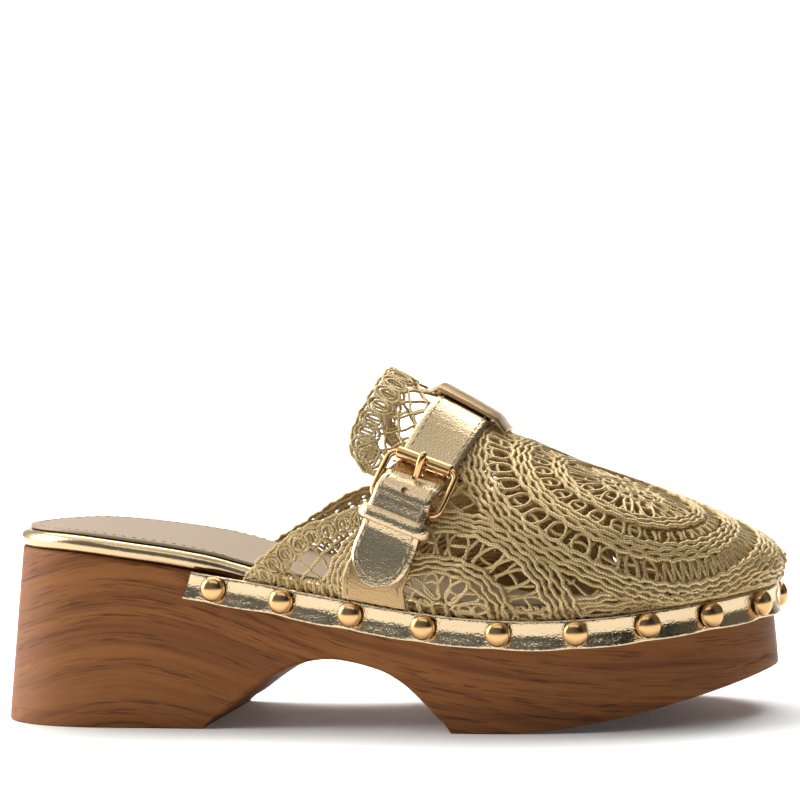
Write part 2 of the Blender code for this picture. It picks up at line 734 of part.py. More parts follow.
def lace_raise(chart, outline):
    """Height of the bands above the lace's wall, none at its edge or where a strap lies."""
    rings = [(np.array(BAND_CENTRE), radius) for radius in BAND_RADII]
    rings += [(centre, radius) for centre in fan_centres() for radius in FAN_RADII]
    height = np.zeros(len(chart))
    for centre, radius in rings:
        off = (np.linalg.norm(chart - centre, axis=1) - radius) / BAND_HALF
        height = np.maximum(height, BAND_RAISE * np.clip(1.0 - off * off, 0.0, 1.0))
    height = height * smooth_step((edge_distance(chart, outline) - BAND_EDGE) / BAND_HALF)
    return np.where(under_straps(chart, 3.0), 0.0, height)


def gap_polygon(centre, along, half_along, half_across):
    turns = np.arange(6) * math.pi / 3
    across = np.array([-along[1], along[0]])
    return np.array([centre + along * half_along * math.cos(a) + across * half_across * math.sin(a)
                     for a in turns])


def lace_gaps(outline):
    """Gaps cut through the lace: rings of them between the bands, and an open net elsewhere."""
    gaps = []
    centres = []

    def offer(centre, along, half_along, half_across):
        centre = np.asarray(centre, float)
        spot = centre[None, :]
        reach = max(half_along, half_across)
        if not inside_polygon(spot, outline)[0] or edge_distance(spot, outline)[0] < reach + 2.2:
            return
        if under_straps(spot, reach + 1.0)[0]:
            return
        if centres and np.linalg.norm(np.array(centres) - centre, axis=1).min() < 2 * reach + 1.6:
            return
        centres.append(centre)
        gaps.append(gap_polygon(centre, np.asarray(along, float), half_along, half_across))

    for radius, count in GAP_RINGS:
        for turn in np.arange(count) * 2 * math.pi / count:
            along = np.array([-math.sin(turn), math.cos(turn)])
            spot = np.array(BAND_CENTRE) + radius * np.array([math.cos(turn), math.sin(turn)])
            offer(spot, along, GAP_HALF, GAP_HALF * 1.15)
    outer = BAND_RADII[-1] + BAND_HALF + NET_HALF
    rows = np.arange(-100.0, 100.0, NET_PITCH * 0.86)
    for number, y in enumerate(rows):
        shift = NET_PITCH / 2 * (number % 2)
        for x in np.arange(80.0, 270.0, NET_PITCH) + shift:
            if math.hypot(x - BAND_CENTRE[0], y - BAND_CENTRE[1]) > outer:
                offer((x, y), (1.0, 0.0), NET_HALF, NET_HALF)
    return gaps


def mesh_points(outline, gaps):
    """Points inside the lace: rows above the rand and along each band, then an even fill."""
    centre = np.array(BAND_CENTRE)
    candidates = list(feather_line(BULGE_FOOT))
    for radius in BAND_RADII:
        for out in (-BAND_HALF, 0.0, BAND_HALF):
            count = round(2 * math.pi * (radius + out) / MESH_PITCH)
            turns = np.arange(count) * 2 * math.pi / count
            candidates += [centre + (radius + out) * np.array([math.cos(a), math.sin(a)]) for a in turns]
    for x in np.arange(80.0, 270.0, MESH_PITCH):
        for y in np.arange(-96.0, 96.1, MESH_PITCH):
            candidates.append(np.array([x, y]))
    candidates = np.array(candidates)
    keep = inside_polygon(candidates, outline) & (edge_distance(candidates, outline) > 2.6)
    candidates = candidates[keep]
    for polygon in gaps:
        middle = polygon.mean(axis=0)
        reach = np.linalg.norm(polygon - middle, axis=1).max()
        candidates = candidates[np.linalg.norm(candidates - middle, axis=1) > reach + 1.4]
    chosen = []
    for spot in candidates:
        if not chosen or np.linalg.norm(np.array(chosen) - spot, axis=1).min() > MESH_PITCH * 0.5:
            chosen.append(spot)
    return np.array(chosen)


def make_upper(finish):
    """One lace wall: the chart is triangulated round its gaps, then laid on the last twice."""
    outline = upper_outline()
    gaps = lace_gaps(outline)
    points = [Vector(p) for p in outline]
    edges = [(k, (k + 1) % len(outline)) for k in range(len(outline))]
    for polygon in gaps:
        first = len(points)
        points += [Vector(p) for p in polygon]
        edges += [(first + k, first + (k + 1) % len(polygon)) for k in range(len(polygon))]
    points += [Vector(p) for p in mesh_points(outline, gaps)]
    chart, _, triangles, _, _, _ = delaunay_2d_cdt(points, edges, [], 0, 1e-5)
    chart = np.array([tuple(p) for p in chart])
    triangles = np.array([tuple(t) for t in triangles])
    middles = chart[triangles].mean(axis=1)
    keep = inside_polygon(middles, outline)
    for polygon in gaps:
        near = np.linalg.norm(middles - polygon.mean(axis=0), axis=1) < 2 * GAP_HALF + 1.0
        keep[near] &= ~inside_polygon(middles[near], polygon)
    triangles = triangles[keep]
    used = np.unique(triangles)
    renumber = np.full(len(chart), -1)
    renumber[used] = np.arange(len(used))
    chart = chart[used]
    triangles = renumber[triangles]
    point, normal, _, _ = LAST.frame(chart)
    outer = point + normal * lace_raise(chart, outline)[:, None]
    inner = point - normal * WALL
    count = len(chart)
    faces = [tuple(t) for t in triangles]
    faces += [tuple(reversed([k + count for k in t])) for t in triangles]
    sides = {}
    for a, b, c in triangles:
        for edge in ((a, b), (b, c), (c, a)):
            sides[edge] = True
    for a, b in sides:
        if (b, a) not in sides:
            faces.append((b, a, a + count, b + count))
    return add_body("upper", np.concatenate([outer, inner]), faces, finish)


def level_direction(chart):
    """Direction on the last along which the height above the feather line stays the same."""
    side = np.sign(chart[0, 1])
    up = LAST.girth(chart) - np.abs(chart[:, 1])
    ahead = LAST.point(chart_up(chart[:, 0] + 1.0, up, side))
    behind = LAST.point(chart_up(chart[:, 0] - 1.0, up, side))
    way = ahead - behind
    return way / np.linalg.norm(way, axis=1)[:, None]


def cross_directions(centre, point, normal, slanted):
    """Square across a strip, turned level over the rand at the stations named as slanted."""
    along = np.gradient(point, axis=0)
    across = np.cross(normal, along)
    across /= np.linalg.norm(across, axis=1)[:, None]
    for row, share in slanted.items():
        level = level_direction(centre[row:row + 1])[0]
        level = level * np.sign(level @ across[row])
        turned = across[row] * (1 - share) + level * share
        across[row] = turned / (turned @ across[row])
    return across


def laid_strip(name, centre, halves, low, high, finish, slanted=None):
    """Strip laid on the last along chart points, with its half widths and the heights of its faces."""
    centre = np.asarray(centre, float)
    point, normal, _, _ = LAST.frame(centre)
    across = cross_directions(centre, point, normal, slanted or {})
    under = [(share, 0.0) for share in (-1.0, 0.0, 1.0)]
    over = [(share, 1.0) for share in (0.9, 0.3, -0.3, -0.9)]
    outline = under + [(1.0, None)] + over + [(-1.0, None)]
    columns = []
    for share, level in outline:
        target = point + across * (np.asarray(halves) * share)[:, None]
        place, lean, _, _ = LAST.frame(LAST.chart_of(target, centre))
        height = np.asarray(high) - STRIP_EASE if level is None else np.where(level > 0, high, low)
        columns.append(place + lean * height[:, None])
    return add_loft(name, np.stack(columns, axis=1), finish)


def strap_chart(up, side=-1.0):
    return chart_up(np.full(len(np.atleast_1d(up)), STRAP_STATION), up, side)


def over_low(up):
    """Height of the long strap's underside above the lace, on the lateral side."""
    on_base = LAID_GAP + STRAP_BASE_THICK + GAP
    on_bar = LAID_GAP + STRAP_BASE_THICK + 2 * BAR_LIFT + 2 * WIRE
    climbed = (ROLLER_BAR - 1.0 - up) / CLIMB
    climb = LAID_GAP + (on_bar - LAID_GAP) * smooth_step(climbed)
    settle = on_base + (on_bar - on_base) * smooth_step((up - SETTLED) / (HEEL_BAR - 2.0 - SETTLED))
    return np.where(up > HEEL_BAR, climb, settle)


def bar_height(up):
    """Centre height of the buckle's bars above the lace."""
    at_heel = LAID_GAP + STRAP_BASE_THICK + BAR_LIFT + WIRE
    at_roller = LAID_GAP + STRAP_OVER_THICK + BAR_LIFT + ROLLER_OUTER
    return at_heel + (at_roller - at_heel) * (up - HEEL_BAR) / (ROLLER_BAR - HEEL_BAR)


def make_strap_over(finish):
    girth = float(LAST.girth(np.array([[STRAP_STATION, -1.0]]))[0])
    girth_medial = float(LAST.girth(np.array([[STRAP_STATION, 1.0]]))[0])
    tip = STRAP_TIP + STRAP_HALF * (1 - np.cos(np.linspace(0.15, math.pi / 2, 6)))
    lateral = np.concatenate([np.linspace(girth - 3.0, tip[-1], 22), tip[::-1][1:]])
    medial = np.linspace(STRAP_END, girth_medial - 1.0, 15)
    chart = np.concatenate([strap_chart(medial, 1.0), strap_chart(lateral)])
    low = np.concatenate([np.full(len(medial), LAID_GAP), over_low(lateral)])
    reach = np.clip((STRAP_TIP + STRAP_HALF - lateral) / STRAP_HALF, 0.0, 0.99)
    wide = np.interp(lateral, (KEEPER_CENTRE, ROLLER_BAR), (STRAP_TIP_HALF, STRAP_HALF))
    halves = np.concatenate([np.full(len(medial), STRAP_HALF), wide * np.sqrt(1 - reach ** 2)])
    slanted = dict(enumerate(STRAP_SLANT))
    return laid_strip("strap_over", chart, halves, low, low + STRAP_OVER_THICK, finish, slanted)


def make_strap_base(finish):
    up = np.linspace(STRAP_END, HEEL_BAR + 2.0, 12)
    low = np.full(len(up), LAID_GAP)
    halves = np.interp(up, (STRAP_END, KEEPER_CENTRE - KEEPER_HALF), (STRAP_FOOT_HALF, STRAP_HALF))
    slanted = dict(enumerate(STRAP_SLANT))
    return laid_strip("strap_base", strap_chart(up), halves, low, low + STRAP_BASE_THICK, finish, slanted)


def make_instep_loop(finish):
    """Leather loop along the crown, turned down behind the strap and lying on the lace before it."""
    offset = np.array([-LOOP_BACK, -LOOP_BACK + 0.6, -LOOP_FLAT - 0.6, -LOOP_FLAT, -5.0, 0.0, 5.0,
                       LOOP_FLAT, LOOP_FLAT + 1.6, LOOP_END - 2.2, LOOP_END])
    over = LAID_GAP + STRAP_OVER_THICK + 1.5 * GAP
    end = np.where(offset < 0, LOOP_BACK, LOOP_END)
    clear = smooth_step((end - np.abs(offset)) / (end - LOOP_FLAT))
    low = LAID_GAP + (over - LAID_GAP) * clear
    slope = float(table_slope(STRAP_STATION, SPINE_RIDGE_X, SPINE_RIDGE_Z))
    chart = np.stack([STRAP_STATION + offset / math.hypot(1.0, slope), np.zeros(len(offset))], axis=1)
    halves = np.full(len(offset), LOOP_HALF)
    return laid_strip("instep_loop", chart, halves, low, low + LOOP_THICK, finish)


def buckle_frame_axes():
    """Seat of the buckle on the strap: heel bar and roller bar centres, and the side direction."""
    up = np.array([HEEL_BAR, ROLLER_BAR])
    point, normal, _, _ = LAST.frame(strap_chart(up))
    bars = point + normal * bar_height(up)[:, None]
    along = bars[1] - bars[0]
    reach = float(np.linalg.norm(along))
    along = along / reach
    lift = normal.mean(axis=0)
    lift = lift - along * float(lift @ along)
    lift = lift / np.linalg.norm(lift)
    return bars[0], along, np.cross(lift, along), lift, reach


def tube(path, sides_a, sides_b, radii, sides=8):
    """Rings round a path, given the two cross directions at each point."""
    turns = np.arange(sides) * 2 * math.pi / sides
    return [p + r * (np.cos(turns)[:, None] * a + np.sin(turns)[:, None] * b)
            for p, a, b, r in zip(path, sides_a, sides_b, radii)]


def make_buckle_frame(finish):
    """Closed wire loop with round corners: its lower bar is the heel bar, its upper bar the roller's."""
    origin, along, side, lift, reach = buckle_frame_axes()
    inner = FRAME_HALF - FRAME_CORNER
    corners = ((inner, reach - FRAME_CORNER, 0.0), (-inner, reach - FRAME_CORNER, 90.0),
               (-inner, FRAME_CORNER, 180.0), (inner, FRAME_CORNER, 270.0))
    path = []
    outward = []
    for across, up, start in corners:
        for turn in np.radians(start + np.linspace(0.0, 90.0, 5)):
            way = side * math.cos(turn) + along * math.sin(turn)
            path.append(origin + side * across + along * up + way * FRAME_CORNER)
            outward.append(way)
    rings = tube(path, outward, [lift] * len(path), [WIRE] * len(path))
    return add_loft("buckle_frame", rings, finish, closed=True)


def make_buckle_roller(finish):
    """Tube that turns on the frame's upper bar."""
    origin, along, side, lift, reach = buckle_frame_axes()
    centre = origin + along * reach
    stations = ((-ROLLER_HALF, ROLLER_INNER), (-ROLLER_HALF, ROLLER_OUTER - 0.1),
                (-ROLLER_HALF + 0.3, ROLLER_OUTER), (ROLLER_HALF - 0.3, ROLLER_OUTER),
                (ROLLER_HALF, ROLLER_OUTER - 0.1), (ROLLER_HALF, ROLLER_INNER))
    path = [centre + side * x for x, _ in stations]
    rings = tube(path, [along] * len(path), [lift] * len(path), [r for _, r in stations], sides=12)
    return add_loft("buckle_roller", rings, finish, closed=True)


def make_buckle_prong(finish):
    """Pin from the heel bar, up through the strap's hole, over the roller."""
    origin, along, side, lift, reach = buckle_frame_axes()
    start = WIRE + GAP
    top = ROLLER_OUTER + GAP + 1.2 * PRONG
    stations = ((start, 0.0, 0.9), (0.30 * reach, -0.3, 1.0), (0.52 * reach, -0.3, 1.0),
                (0.70 * reach, 0.9, 1.0), (0.86 * reach, top - 0.7, 1.15), (0.97 * reach, top, 1.2),
                (reach + 0.5, top, 1.15), (reach + 1.3, top - 0.2, 0.9), (reach + 1.8, top - 0.4, 0.4))
    path = np.array([origin + along * a + lift * h for a, h, _ in stations])
    ahead = np.gradient(path, axis=0)
    ahead /= np.linalg.norm(ahead, axis=1)[:, None]
    lifts = np.cross(ahead, side)
    rings = tube(path, [side] * len(path), lifts, [PRONG * r for _, _, r in stations])
    return add_loft("buckle_prong", rings, finish)


def cut_prong_slot(strap):
    """Hole in the strap where the prong comes up."""
    point, normal, _, _ = LAST.frame(strap_chart(np.array([PRONG_HOLE])))
    _, along, side, _, _ = buckle_frame_axes()
    rings = []
    for level in (-1.0, 8.0):
        middle = point[0] + normal[0] * level
        turns = np.arange(12) * math.pi / 6
        rings.append([middle + along * SLOT_HALF_LENGTH * math.sin(a) + side * SLOT_HALF_WIDTH * math.cos(a)
                      for a in turns])
    cutter = add_loft("prong_slot_cutter", rings, strap.data.materials[0])
    cutter.hide_render = True
    cutter.display_type = "WIRE"
    cut = strap.modifiers.new("prong_slot", "BOOLEAN")
    cut.operation = "DIFFERENCE"
    cut.solver = "EXACT"
    cut.object = cutter
    return cutter


def make_strap_keeper(finish):
    """Leather bridge over both straps below the buckle, its feet on the lace beside them."""
    up = KEEPER_CENTRE + np.array([-KEEPER_HALF, KEEPER_HALF])
    crown = float(over_low(np.array([up[1]]))[0]) + STRAP_OVER_THICK + GAP
    inner = STRAP_TIP_HALF + 0.45
    outer = inner + KEEPER_THICK
    corner = 1.2
    shape = ((inner, LAID_GAP), (outer, LAID_GAP), (outer, crown - corner + KEEPER_THICK),
             (outer - corner, crown + KEEPER_THICK), (0.0, crown + KEEPER_THICK),
             (-outer + corner, crown + KEEPER_THICK), (-outer, crown - corner + KEEPER_THICK),
             (-outer, LAID_GAP), (-inner, LAID_GAP), (-inner, crown - corner), (-inner + corner, crown),
             (0.0, crown), (inner - corner, crown), (inner, crown - corner))
    point, normal, _, _ = LAST.frame(strap_chart(up))
    along = point[1] - point[0]
    along /= np.linalg.norm(along)
    rings = []
    for place, lean, station in zip(point, normal, strap_chart(up)):
        across = np.cross(lean, along)
        ring = []
        for share, height in shape:
            target = (place + across * share)[None, :]
            seat, tilt, _, _ = LAST.frame(LAST.chart_of(target, station[None, :]))
            ring.append(seat[0] + tilt[0] * height)
        rings.append(ring)
    return add_loft("strap_keeper", rings, finish)


def centre_over_origin():
    """Hang every piece on one empty, placed so that the box stands centred on the origin."""
    bodies = [o for o in bpy.context.scene.objects if o.type == "MESH"]
    shown = [o for o in bodies if not o.hide_render]
    corners = np.array([tuple(v.co) for o in shown for v in o.data.vertices])
    low = corners.min(axis=0)
    high = corners.max(axis=0)
    stand = bpy.data.objects.new("shoe", None)
    bpy.context.scene.collection.objects.link(stand)
    stand.location = (-(low[0] + high[0]) / 2, -(low[1] + high[1]) / 2, -low[2])
    for body in bodies:
        body.parent = stand


def main():
    clear_scene()
    wood = material("wood_look_block", (0.36, 0.20, 0.10), 0.45, 0.0)
    rubber = material("tan_rubber", (0.30, 0.17, 0.09), 0.6, 0.0)
    gold_leather = material("gold_leather", (0.62, 0.45, 0.28), 0.35, 0.6)
    sock_leather = material("sock_leather", (0.58, 0.42, 0.26), 0.45, 0.3)
    lace = material("gold_lace", (0.55, 0.40, 0.24), 0.6, 0.1)
    gold = material("polished_gold", (0.83, 0.60, 0.38), 0.15, 1.0)
    make_sole(wood)
    make_heel_lift(rubber)
    make_forefoot_tread(rubber)
    make_footbed(gold_leather)
    make_sock(sock_leather)
    make_upper(lace)
    make_rand(gold_leather)
    make_studs(gold)
    make_strap_base(gold_leather)
    strap = make_strap_over(gold_leather)
    make_instep_loop(gold_leather)
    make_strap_keeper(gold_leather)
    make_buckle_frame(gold)
    make_buckle_roller(gold)
    make_buckle_prong(gold)
    cut_prong_slot(strap)
    centre_over_origin()


main()
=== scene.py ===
"""Looks of the clog mule: crocheted lace, wood-look block, gold leather and polished fittings.

Sizes are in millimetres in the last's frame, as in the part's source: x runs to the toe, -y is the
lateral side and z is up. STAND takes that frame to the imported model's, and meshes are in metres.
"""

import math

import bpy
import numpy as np
from mathutils import Matrix, Vector
from mathutils.bvhtree import BVHTree


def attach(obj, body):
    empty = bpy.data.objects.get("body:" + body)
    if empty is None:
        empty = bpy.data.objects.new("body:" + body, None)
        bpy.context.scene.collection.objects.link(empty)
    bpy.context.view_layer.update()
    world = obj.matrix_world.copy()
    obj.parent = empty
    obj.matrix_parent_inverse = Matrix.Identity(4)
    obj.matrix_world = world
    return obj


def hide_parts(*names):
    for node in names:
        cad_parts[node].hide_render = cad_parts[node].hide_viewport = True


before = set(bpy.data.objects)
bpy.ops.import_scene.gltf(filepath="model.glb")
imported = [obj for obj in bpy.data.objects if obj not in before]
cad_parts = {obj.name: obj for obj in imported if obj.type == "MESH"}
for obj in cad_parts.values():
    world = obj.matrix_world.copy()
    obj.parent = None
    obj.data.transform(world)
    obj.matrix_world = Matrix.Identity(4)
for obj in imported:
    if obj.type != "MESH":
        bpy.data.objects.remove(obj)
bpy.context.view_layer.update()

MM = 0.001
STAND = np.array([-116.2292, 0.3536, 0.0])
CHANCE = np.random.default_rng(11)

# The photograph's camera in the last's frame
CAMERA_PLACE = (350.994, -1082.302, 157.25)
CAMERA_AIM = (122.71, 0.0, 99.309)
CAMERA_ROLL = math.radians(-1.975)
CAMERA_LENS = 158.23         # millimetres, on a 36 mm sensor

# Plan of the sole's top edge, one row for each section between the heel's back and the toe's tip
PLAN = (  # x, lateral y, medial y
    (8.0, -20.5, 20.0),
    (28.0, -29.8, 29.0),
    (60.0, -32.0, 30.5),
    (90.0, -34.5, 31.0),
    (115.0, -38.6, 33.5),
    (140.0, -43.2, 39.0),
    (165.0, -45.6, 43.8),
    (187.0, -43.4, 44.6),
    (205.0, -36.0, 42.0),
    (220.0, -25.2, 35.0),
    (231.5, -10.8, 24.0),
)
HEEL_BACK = (-2.0, 0.0)
TOE_TIP = (237.2, 7.0)
TOP_X = (-2.0, 20.0, 41.0, 62.0, 85.0, 112.0, 136.0, 163.0, 187.0, 212.0, 240.0)
TOP_Z = (56.0, 55.4, 52.8, 49.3, 43.1, 38.1, 34.4, 32.2, 32.3, 34.2, 37.0)
GAP = 0.3

# Rand, studs, footbed and wearing layers
RAND_THICK = 1.1
RAND_TOP_END = 62.0
RAND_LIP = 2.4
RAND_LIP_FULL = 88.0
STUD_RADIUS = 3.9
STUD_HEIGHT = 3.0
STUD_DOWN = 4.0
STUDS_READ = (7.0, 29.3, 52.1, 76.0, 99.4, 122.4, 144.1, 165.1, 186.9, 208.6)
STUDS_MEDIAL = 8
STUD_END_MARGIN = 7.0
STUD_RIM = 0.5
RAND_LOW_END = 59.0
RAND_HEIGHT = 8.8
RAND_HOLLOW = 0.75           # how far the band's top stands out from its nailed middle
RAND_FLARE = 1.3             # how far its lower edge stands out between the studs
NAIL_SPREAD = 4.5            # length of band that a stud holds down
HEEL_FLARE = 6.8
FLARE_END = 64.0
TOE_FLARE = 2.4
TOE_FLARE_START = 200.0
FOOTBED = 5.2
BEAD_OVERHANG = 0.4
COVERED_INSET = 2.2
BEAD_END = (60.0, 73.0)
TREAD = 3.3
TREAD_RAISE = 1.5            # closes the joint under the block to a fine line
TREAD_TUCK = 1.0             # draws its toe back below the block's
SPRING_START = 158.0
SPRING_TIP = 14.4
SPRING_POWER = 1.7
WAIST_SPAN = (67.0, 140.0)   # x and z between which the block's arch is rounded
WAIST_LEVELS = (4.0, 24.0)

# Last surface: ridge and feather line, one row for each section
SPINE_RIDGE_X = (96.0, 120.0, 144.0, 158.0, 176.0, 197.0)
SPINE_RIDGE_Z = (122.5, 109.6, 96.4, 87.8, 78.8, 70.6)
SPINE_FEATHER_X = (73.0, 97.0, 121.0, 141.0, 168.0, 197.0)
SPINE_FULLNESS = (1.85, 1.85, 1.9, 2.0, 2.15, 2.35)
FOCUS = 197.0
RIDGE_Y = 1.5
TOE_FULLNESS = 2.6
BULGE_BACK = 0.3
BULGE_FOCUS = 1.0
BULGE_TOE = 4.0
BULGE_FOOT = 3.0
BULGE_HEIGHT = 9.0

# Collar, one row for each turn: the first rows are the quarters, the later ones the tongue
COLLAR = (  # arc length up from the feather line, feather x of the lateral and the medial section
    (0.0, 76.5, 68.5),
    (5.0, 80.0, 72.0),
    (13.4, 86.0, 79.5),
    (22.0, 92.7, 86.5),
    (27.2, 100.2, 91.5),
    (30.0, 103.7, 95.0),
    (32.0, 107.0, 100.0),
    (35.0, 110.5, 106.5),
    (38.5, 111.0, 110.5),
    (41.3, 108.2, 108.0),
    (43.0, 103.8, 103.8),
    (49.2, 97.6, 97.6),
    (57.5, 95.7, 95.7),
    (67.4, 95.8, 95.8),
)

# Instep strap, buckle and stitches
STRAP_STATION = 144.0
STRAP_HALF = 9.25
STRAP_TIP_HALF = 9.8
STRAP_FOOT_HALF = 10.4
STRAP_TIP = 8.6
STRAP_END = 2.7
LOOP_HALF = 7.6
LOOP_END = 15.0
FRAME_HALF = 11.6
ROLLER_BAR = 48.0
KEEPER_CENTRE = 28.0
KEEPER_HALF = 2.5
KEEPER_CUSHION = 1.6
HEEL_BAR = 33.4
CLIMB = 6.0
HUMP = 4.45                  # rise of the long strap from the roller bar to the heel bar
BELLY_SHARE = (0.0, 0.2, 0.4, 0.6, 0.74, 0.88, 1.0)
BELLY_RISE = (0.0, 1.65, 3.3, 4.85, 5.5, 5.35, 4.45)
BELLY_ROOM = 14.0            # distance from its middle line within which the strap is bowed
FREE_HOLE = 36.8             # arc length up the strap of the punched hole that is not in use
HOLE_RADIUS = 1.15
STITCH = 2.3
STITCH_PITCH = 3.3
STITCH_RADIUS = 0.27
STITCH_INSET = 2.0
SOCK_STITCH_INSET = 5.2
SOCK_STITCH_RADIUS = 0.15
SOCK_STITCH_END = 84.0
SEAT_REACH = 12.0            # how far above and below the last a surface is looked for
SEAT_STEP = 0.8

# Studio
SWEEP_SIZE = 4.0             # metres, as are the next three
SWEEP_SHIFT = 1.2
WALL_HEIGHT = 0.9
COVE = 0.5

# Printed grain: the arches' crown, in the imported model's frame, and how they level out
ARCH_X = -80.0
ARCH_WIDTH = 78.0
ARCH_DROP = 45.0
BELT_HEIGHT = 31.0           # middle and half width of a darker belt in the grain
BELT_REACH = 6.0

# Lace in the last's chart
MEDALLION = np.array([196.5, -10.0])
BAND_RADII = (22.0, 33.0, 46.0)
BAND_CORDS = (3, 4, 5)
CORD_PITCH = 1.62            # between the cords of a band
MEDALLION_EDGE = 49.3
INNER_RING = (24.9, 29.4)    # open rings between the bands
OUTER_RING = (36.4, 42.4)
FAN_FEATHER_X = 143.0
FAN_UP = 5.0
FAN_RADII = (12.5, 26.3)
FAN_EDGE = 29.6
CORD = 0.75                  # radii of the cords
LOOP_CORD = 0.56
THREAD = 0.46
MEDIAL_FULLER = 0.16         # share by which the cords are thicker on the medial side
OUTER_BAND = 58.4            # band beyond the medallion on the medial side
OUTER_EDGE = 61.8
OUTER_ARC = (10.0, 170.0)    # degrees
MEDIAL_START = 12.0          # chart Y from which the medial ring is laid, and the close rows
ROWS_START = 6.0
ROW_PITCH = 1.35
RUNG_PITCH = 1.6
TOE_EDGE_START = 184.0
EDGING_PITCH = 5.6
EDGING_DEPTH = (6.2, 7.6)    # of the loops on the lateral quarter and on the tongue
EDGING_MEDIAL = 4.0
EDGING_TURN = 8.0            # chart Y beyond which the medial depth holds
TONGUE_HALF = 46.0
NET_MIDDLE = (150.0, 75.0)   # chart point, mirrored, on which each side's net is centred
NET_REACH = 150.0
NET_STROKE = 120.0
BAND_LIFT = 0.55             # cord centres above the last
LOOP_LIFT = -0.3
NET_LIFT = -0.5
UNDER_TRIM = 0.22            # highest cord top below the straps and behind the rand
LINE_STEP = 0.7
RING_STEP = 0.6
TOE_SWELL = 2.2              # how far the toe's lowest cords stand out over the rand
TOE_SWELL_START = 205.0
TOE_SWELL_RISE = 16.0
TOE_SWELL_UP = 4.6           # height above the feather line where they stand out most
TOE_SWELL_SPREAD = 2.6
PLY_PITCH = 2.0              # one turn of the two plies
TUBE_SIDES = 6


# Shapes shared with the part: tables, plan and last

def smooth_step(t):
    t = np.clip(t, 0.0, 1.0)
    return t * t * (3.0 - 2.0 * t)


def unit(rows):
    """Vectors brought to unit length."""
    return rows / np.linalg.norm(rows, axis=-1, keepdims=True)


def ways(turns):
    """Unit directions in a plane at angles in radians."""
    return np.stack([np.cos(turns), np.sin(turns)], axis=1)


def read_off(at, lengths, rows):
    """Rows of a table read off at lengths along it."""
    return np.stack([np.interp(at, lengths, rows[:, k]) for k in range(rows.shape[1])], axis=-1)


def cubic(t, start, end, start_rise, end_rise):
    """Cubic between two values with a rise given at each end."""
    return ((1 + 2 * t) * (1 - t) ** 2 * start + t * (1 - t) ** 2 * start_rise
            + t * t * (3 - 2 * t) * end + t * t * (t - 1) * end_rise)


def table_curve(x, xs, ys):
    """Smooth curve through a table's points, straight beyond its ends."""
    xs = np.asarray(xs, float)
    ys = np.asarray(ys, float)
    slopes = np.gradient(ys, xs)
    x = np.asarray(x, float)
    inside = np.clip(x, xs[0], xs[-1])
    row = np.clip(np.searchsorted(xs, inside) - 1, 0, len(xs) - 2)
    width = xs[row + 1] - xs[row]
    t = (inside - xs[row]) / width
    value = cubic(t, ys[row], ys[row + 1], width * slopes[row], width * slopes[row + 1])
    return value + (x - inside) * np.where(x < xs[0], slopes[0], slopes[-1])


def table_slope(x, xs, ys):
    step = 0.5
    return (table_curve(x + step, xs, ys) - table_curve(x - step, xs, ys)) / (2 * step)


def line_lengths(line):
    steps = np.linalg.norm(np.diff(line, axis=0), axis=1)
    return np.concatenate([[0.0], np.cumsum(steps)])


def evened(line, step):
    """Line resampled at even steps."""
    lengths = line_lengths(line)
    count = max(4, round(lengths[-1] / step) + 1)
    even = np.linspace(0.0, lengths[-1], count)
    return read_off(even, lengths, line)


def closed_curve(points, count):
    """Periodic cubic curve through points, evenly sampled by arc length."""
    points = np.asarray(points, float)
    chords = np.linalg.norm(np.roll(points, -1, axis=0) - points, axis=1)
    total = len(points)
    matrix = np.zeros((total, total))
    right = np.zeros((total, 2))
    for row in range(total):
        before = chords[row - 1]
        after = chords[row]
        following = (row + 1) % total
        matrix[row, row - 1] += after
        matrix[row, row] += 2 * (before + after)
        matrix[row, following] += before
        right[row] = 3 * (before * (points[following] - points[row]) / after
                          + after * (points[row] - points[row - 1]) / before)
    tangents = np.linalg.solve(matrix, right)
    pieces = []
    t = np.linspace(0.0, 1.0, 200, endpoint=False)[:, None]
    for row in range(total):
        following = (row + 1) % total
        pieces.append(cubic(t, points[row], points[following], chords[row] * tangents[row],
                            chords[row] * tangents[following]))
    dense = np.concatenate(pieces + [points[:1]])
    lengths = line_lengths(dense)
    even = np.linspace(0.0, lengths[-1], count, endpoint=False)
    return read_off(even, lengths, dense)


class Plan:
    """Top edge of the sole seen from above, from the heel's back round the toe and home."""

    def __init__(self):
        lateral = [(x, y) for x, y, _ in PLAN]
        medial = [(x, y) for x, _, y in reversed(PLAN)]
        loop = closed_curve([HEEL_BACK] + lateral + [TOE_TIP] + medial, 2400)
        loop = np.roll(loop, -int(np.argmin(loop[:, 0])), axis=0)
        self.points = np.concatenate([loop, loop[:1]])
        self.lengths = line_lengths(self.points)
        tangent = unit(np.gradient(self.points, self.lengths, axis=0))
        self.normals = np.stack([tangent[:, 1], -tangent[:, 0]], axis=1)
        self.tip = int(np.argmax(self.points[:, 0]))
        self.front = self.points[self.tip, 0]

    def at(self, length):
        return read_off(length, self.lengths, self.points)

    def normal(self, length):
        return read_off(length, self.lengths, self.normals)

    def length_at_x(self, x, medial):
        head = slice(None, self.tip + 1)
        tail = slice(self.tip, None)
        on_lateral = np.interp(x, self.points[head, 0], self.lengths[head])
        on_medial = np.interp(x, self.points[tail, 0][::-1], self.lengths[tail][::-1])
        return np.where(medial, on_medial, on_lateral)


PLAN_EDGE = Plan()


def wood_top(x):
    return table_curve(x, TOP_X, TOP_Z)


def rand_top(x):
    return wood_top(x) + RAND_LIP * smooth_step((x - RAND_TOP_END) / (RAND_LIP_FULL - RAND_TOP_END))


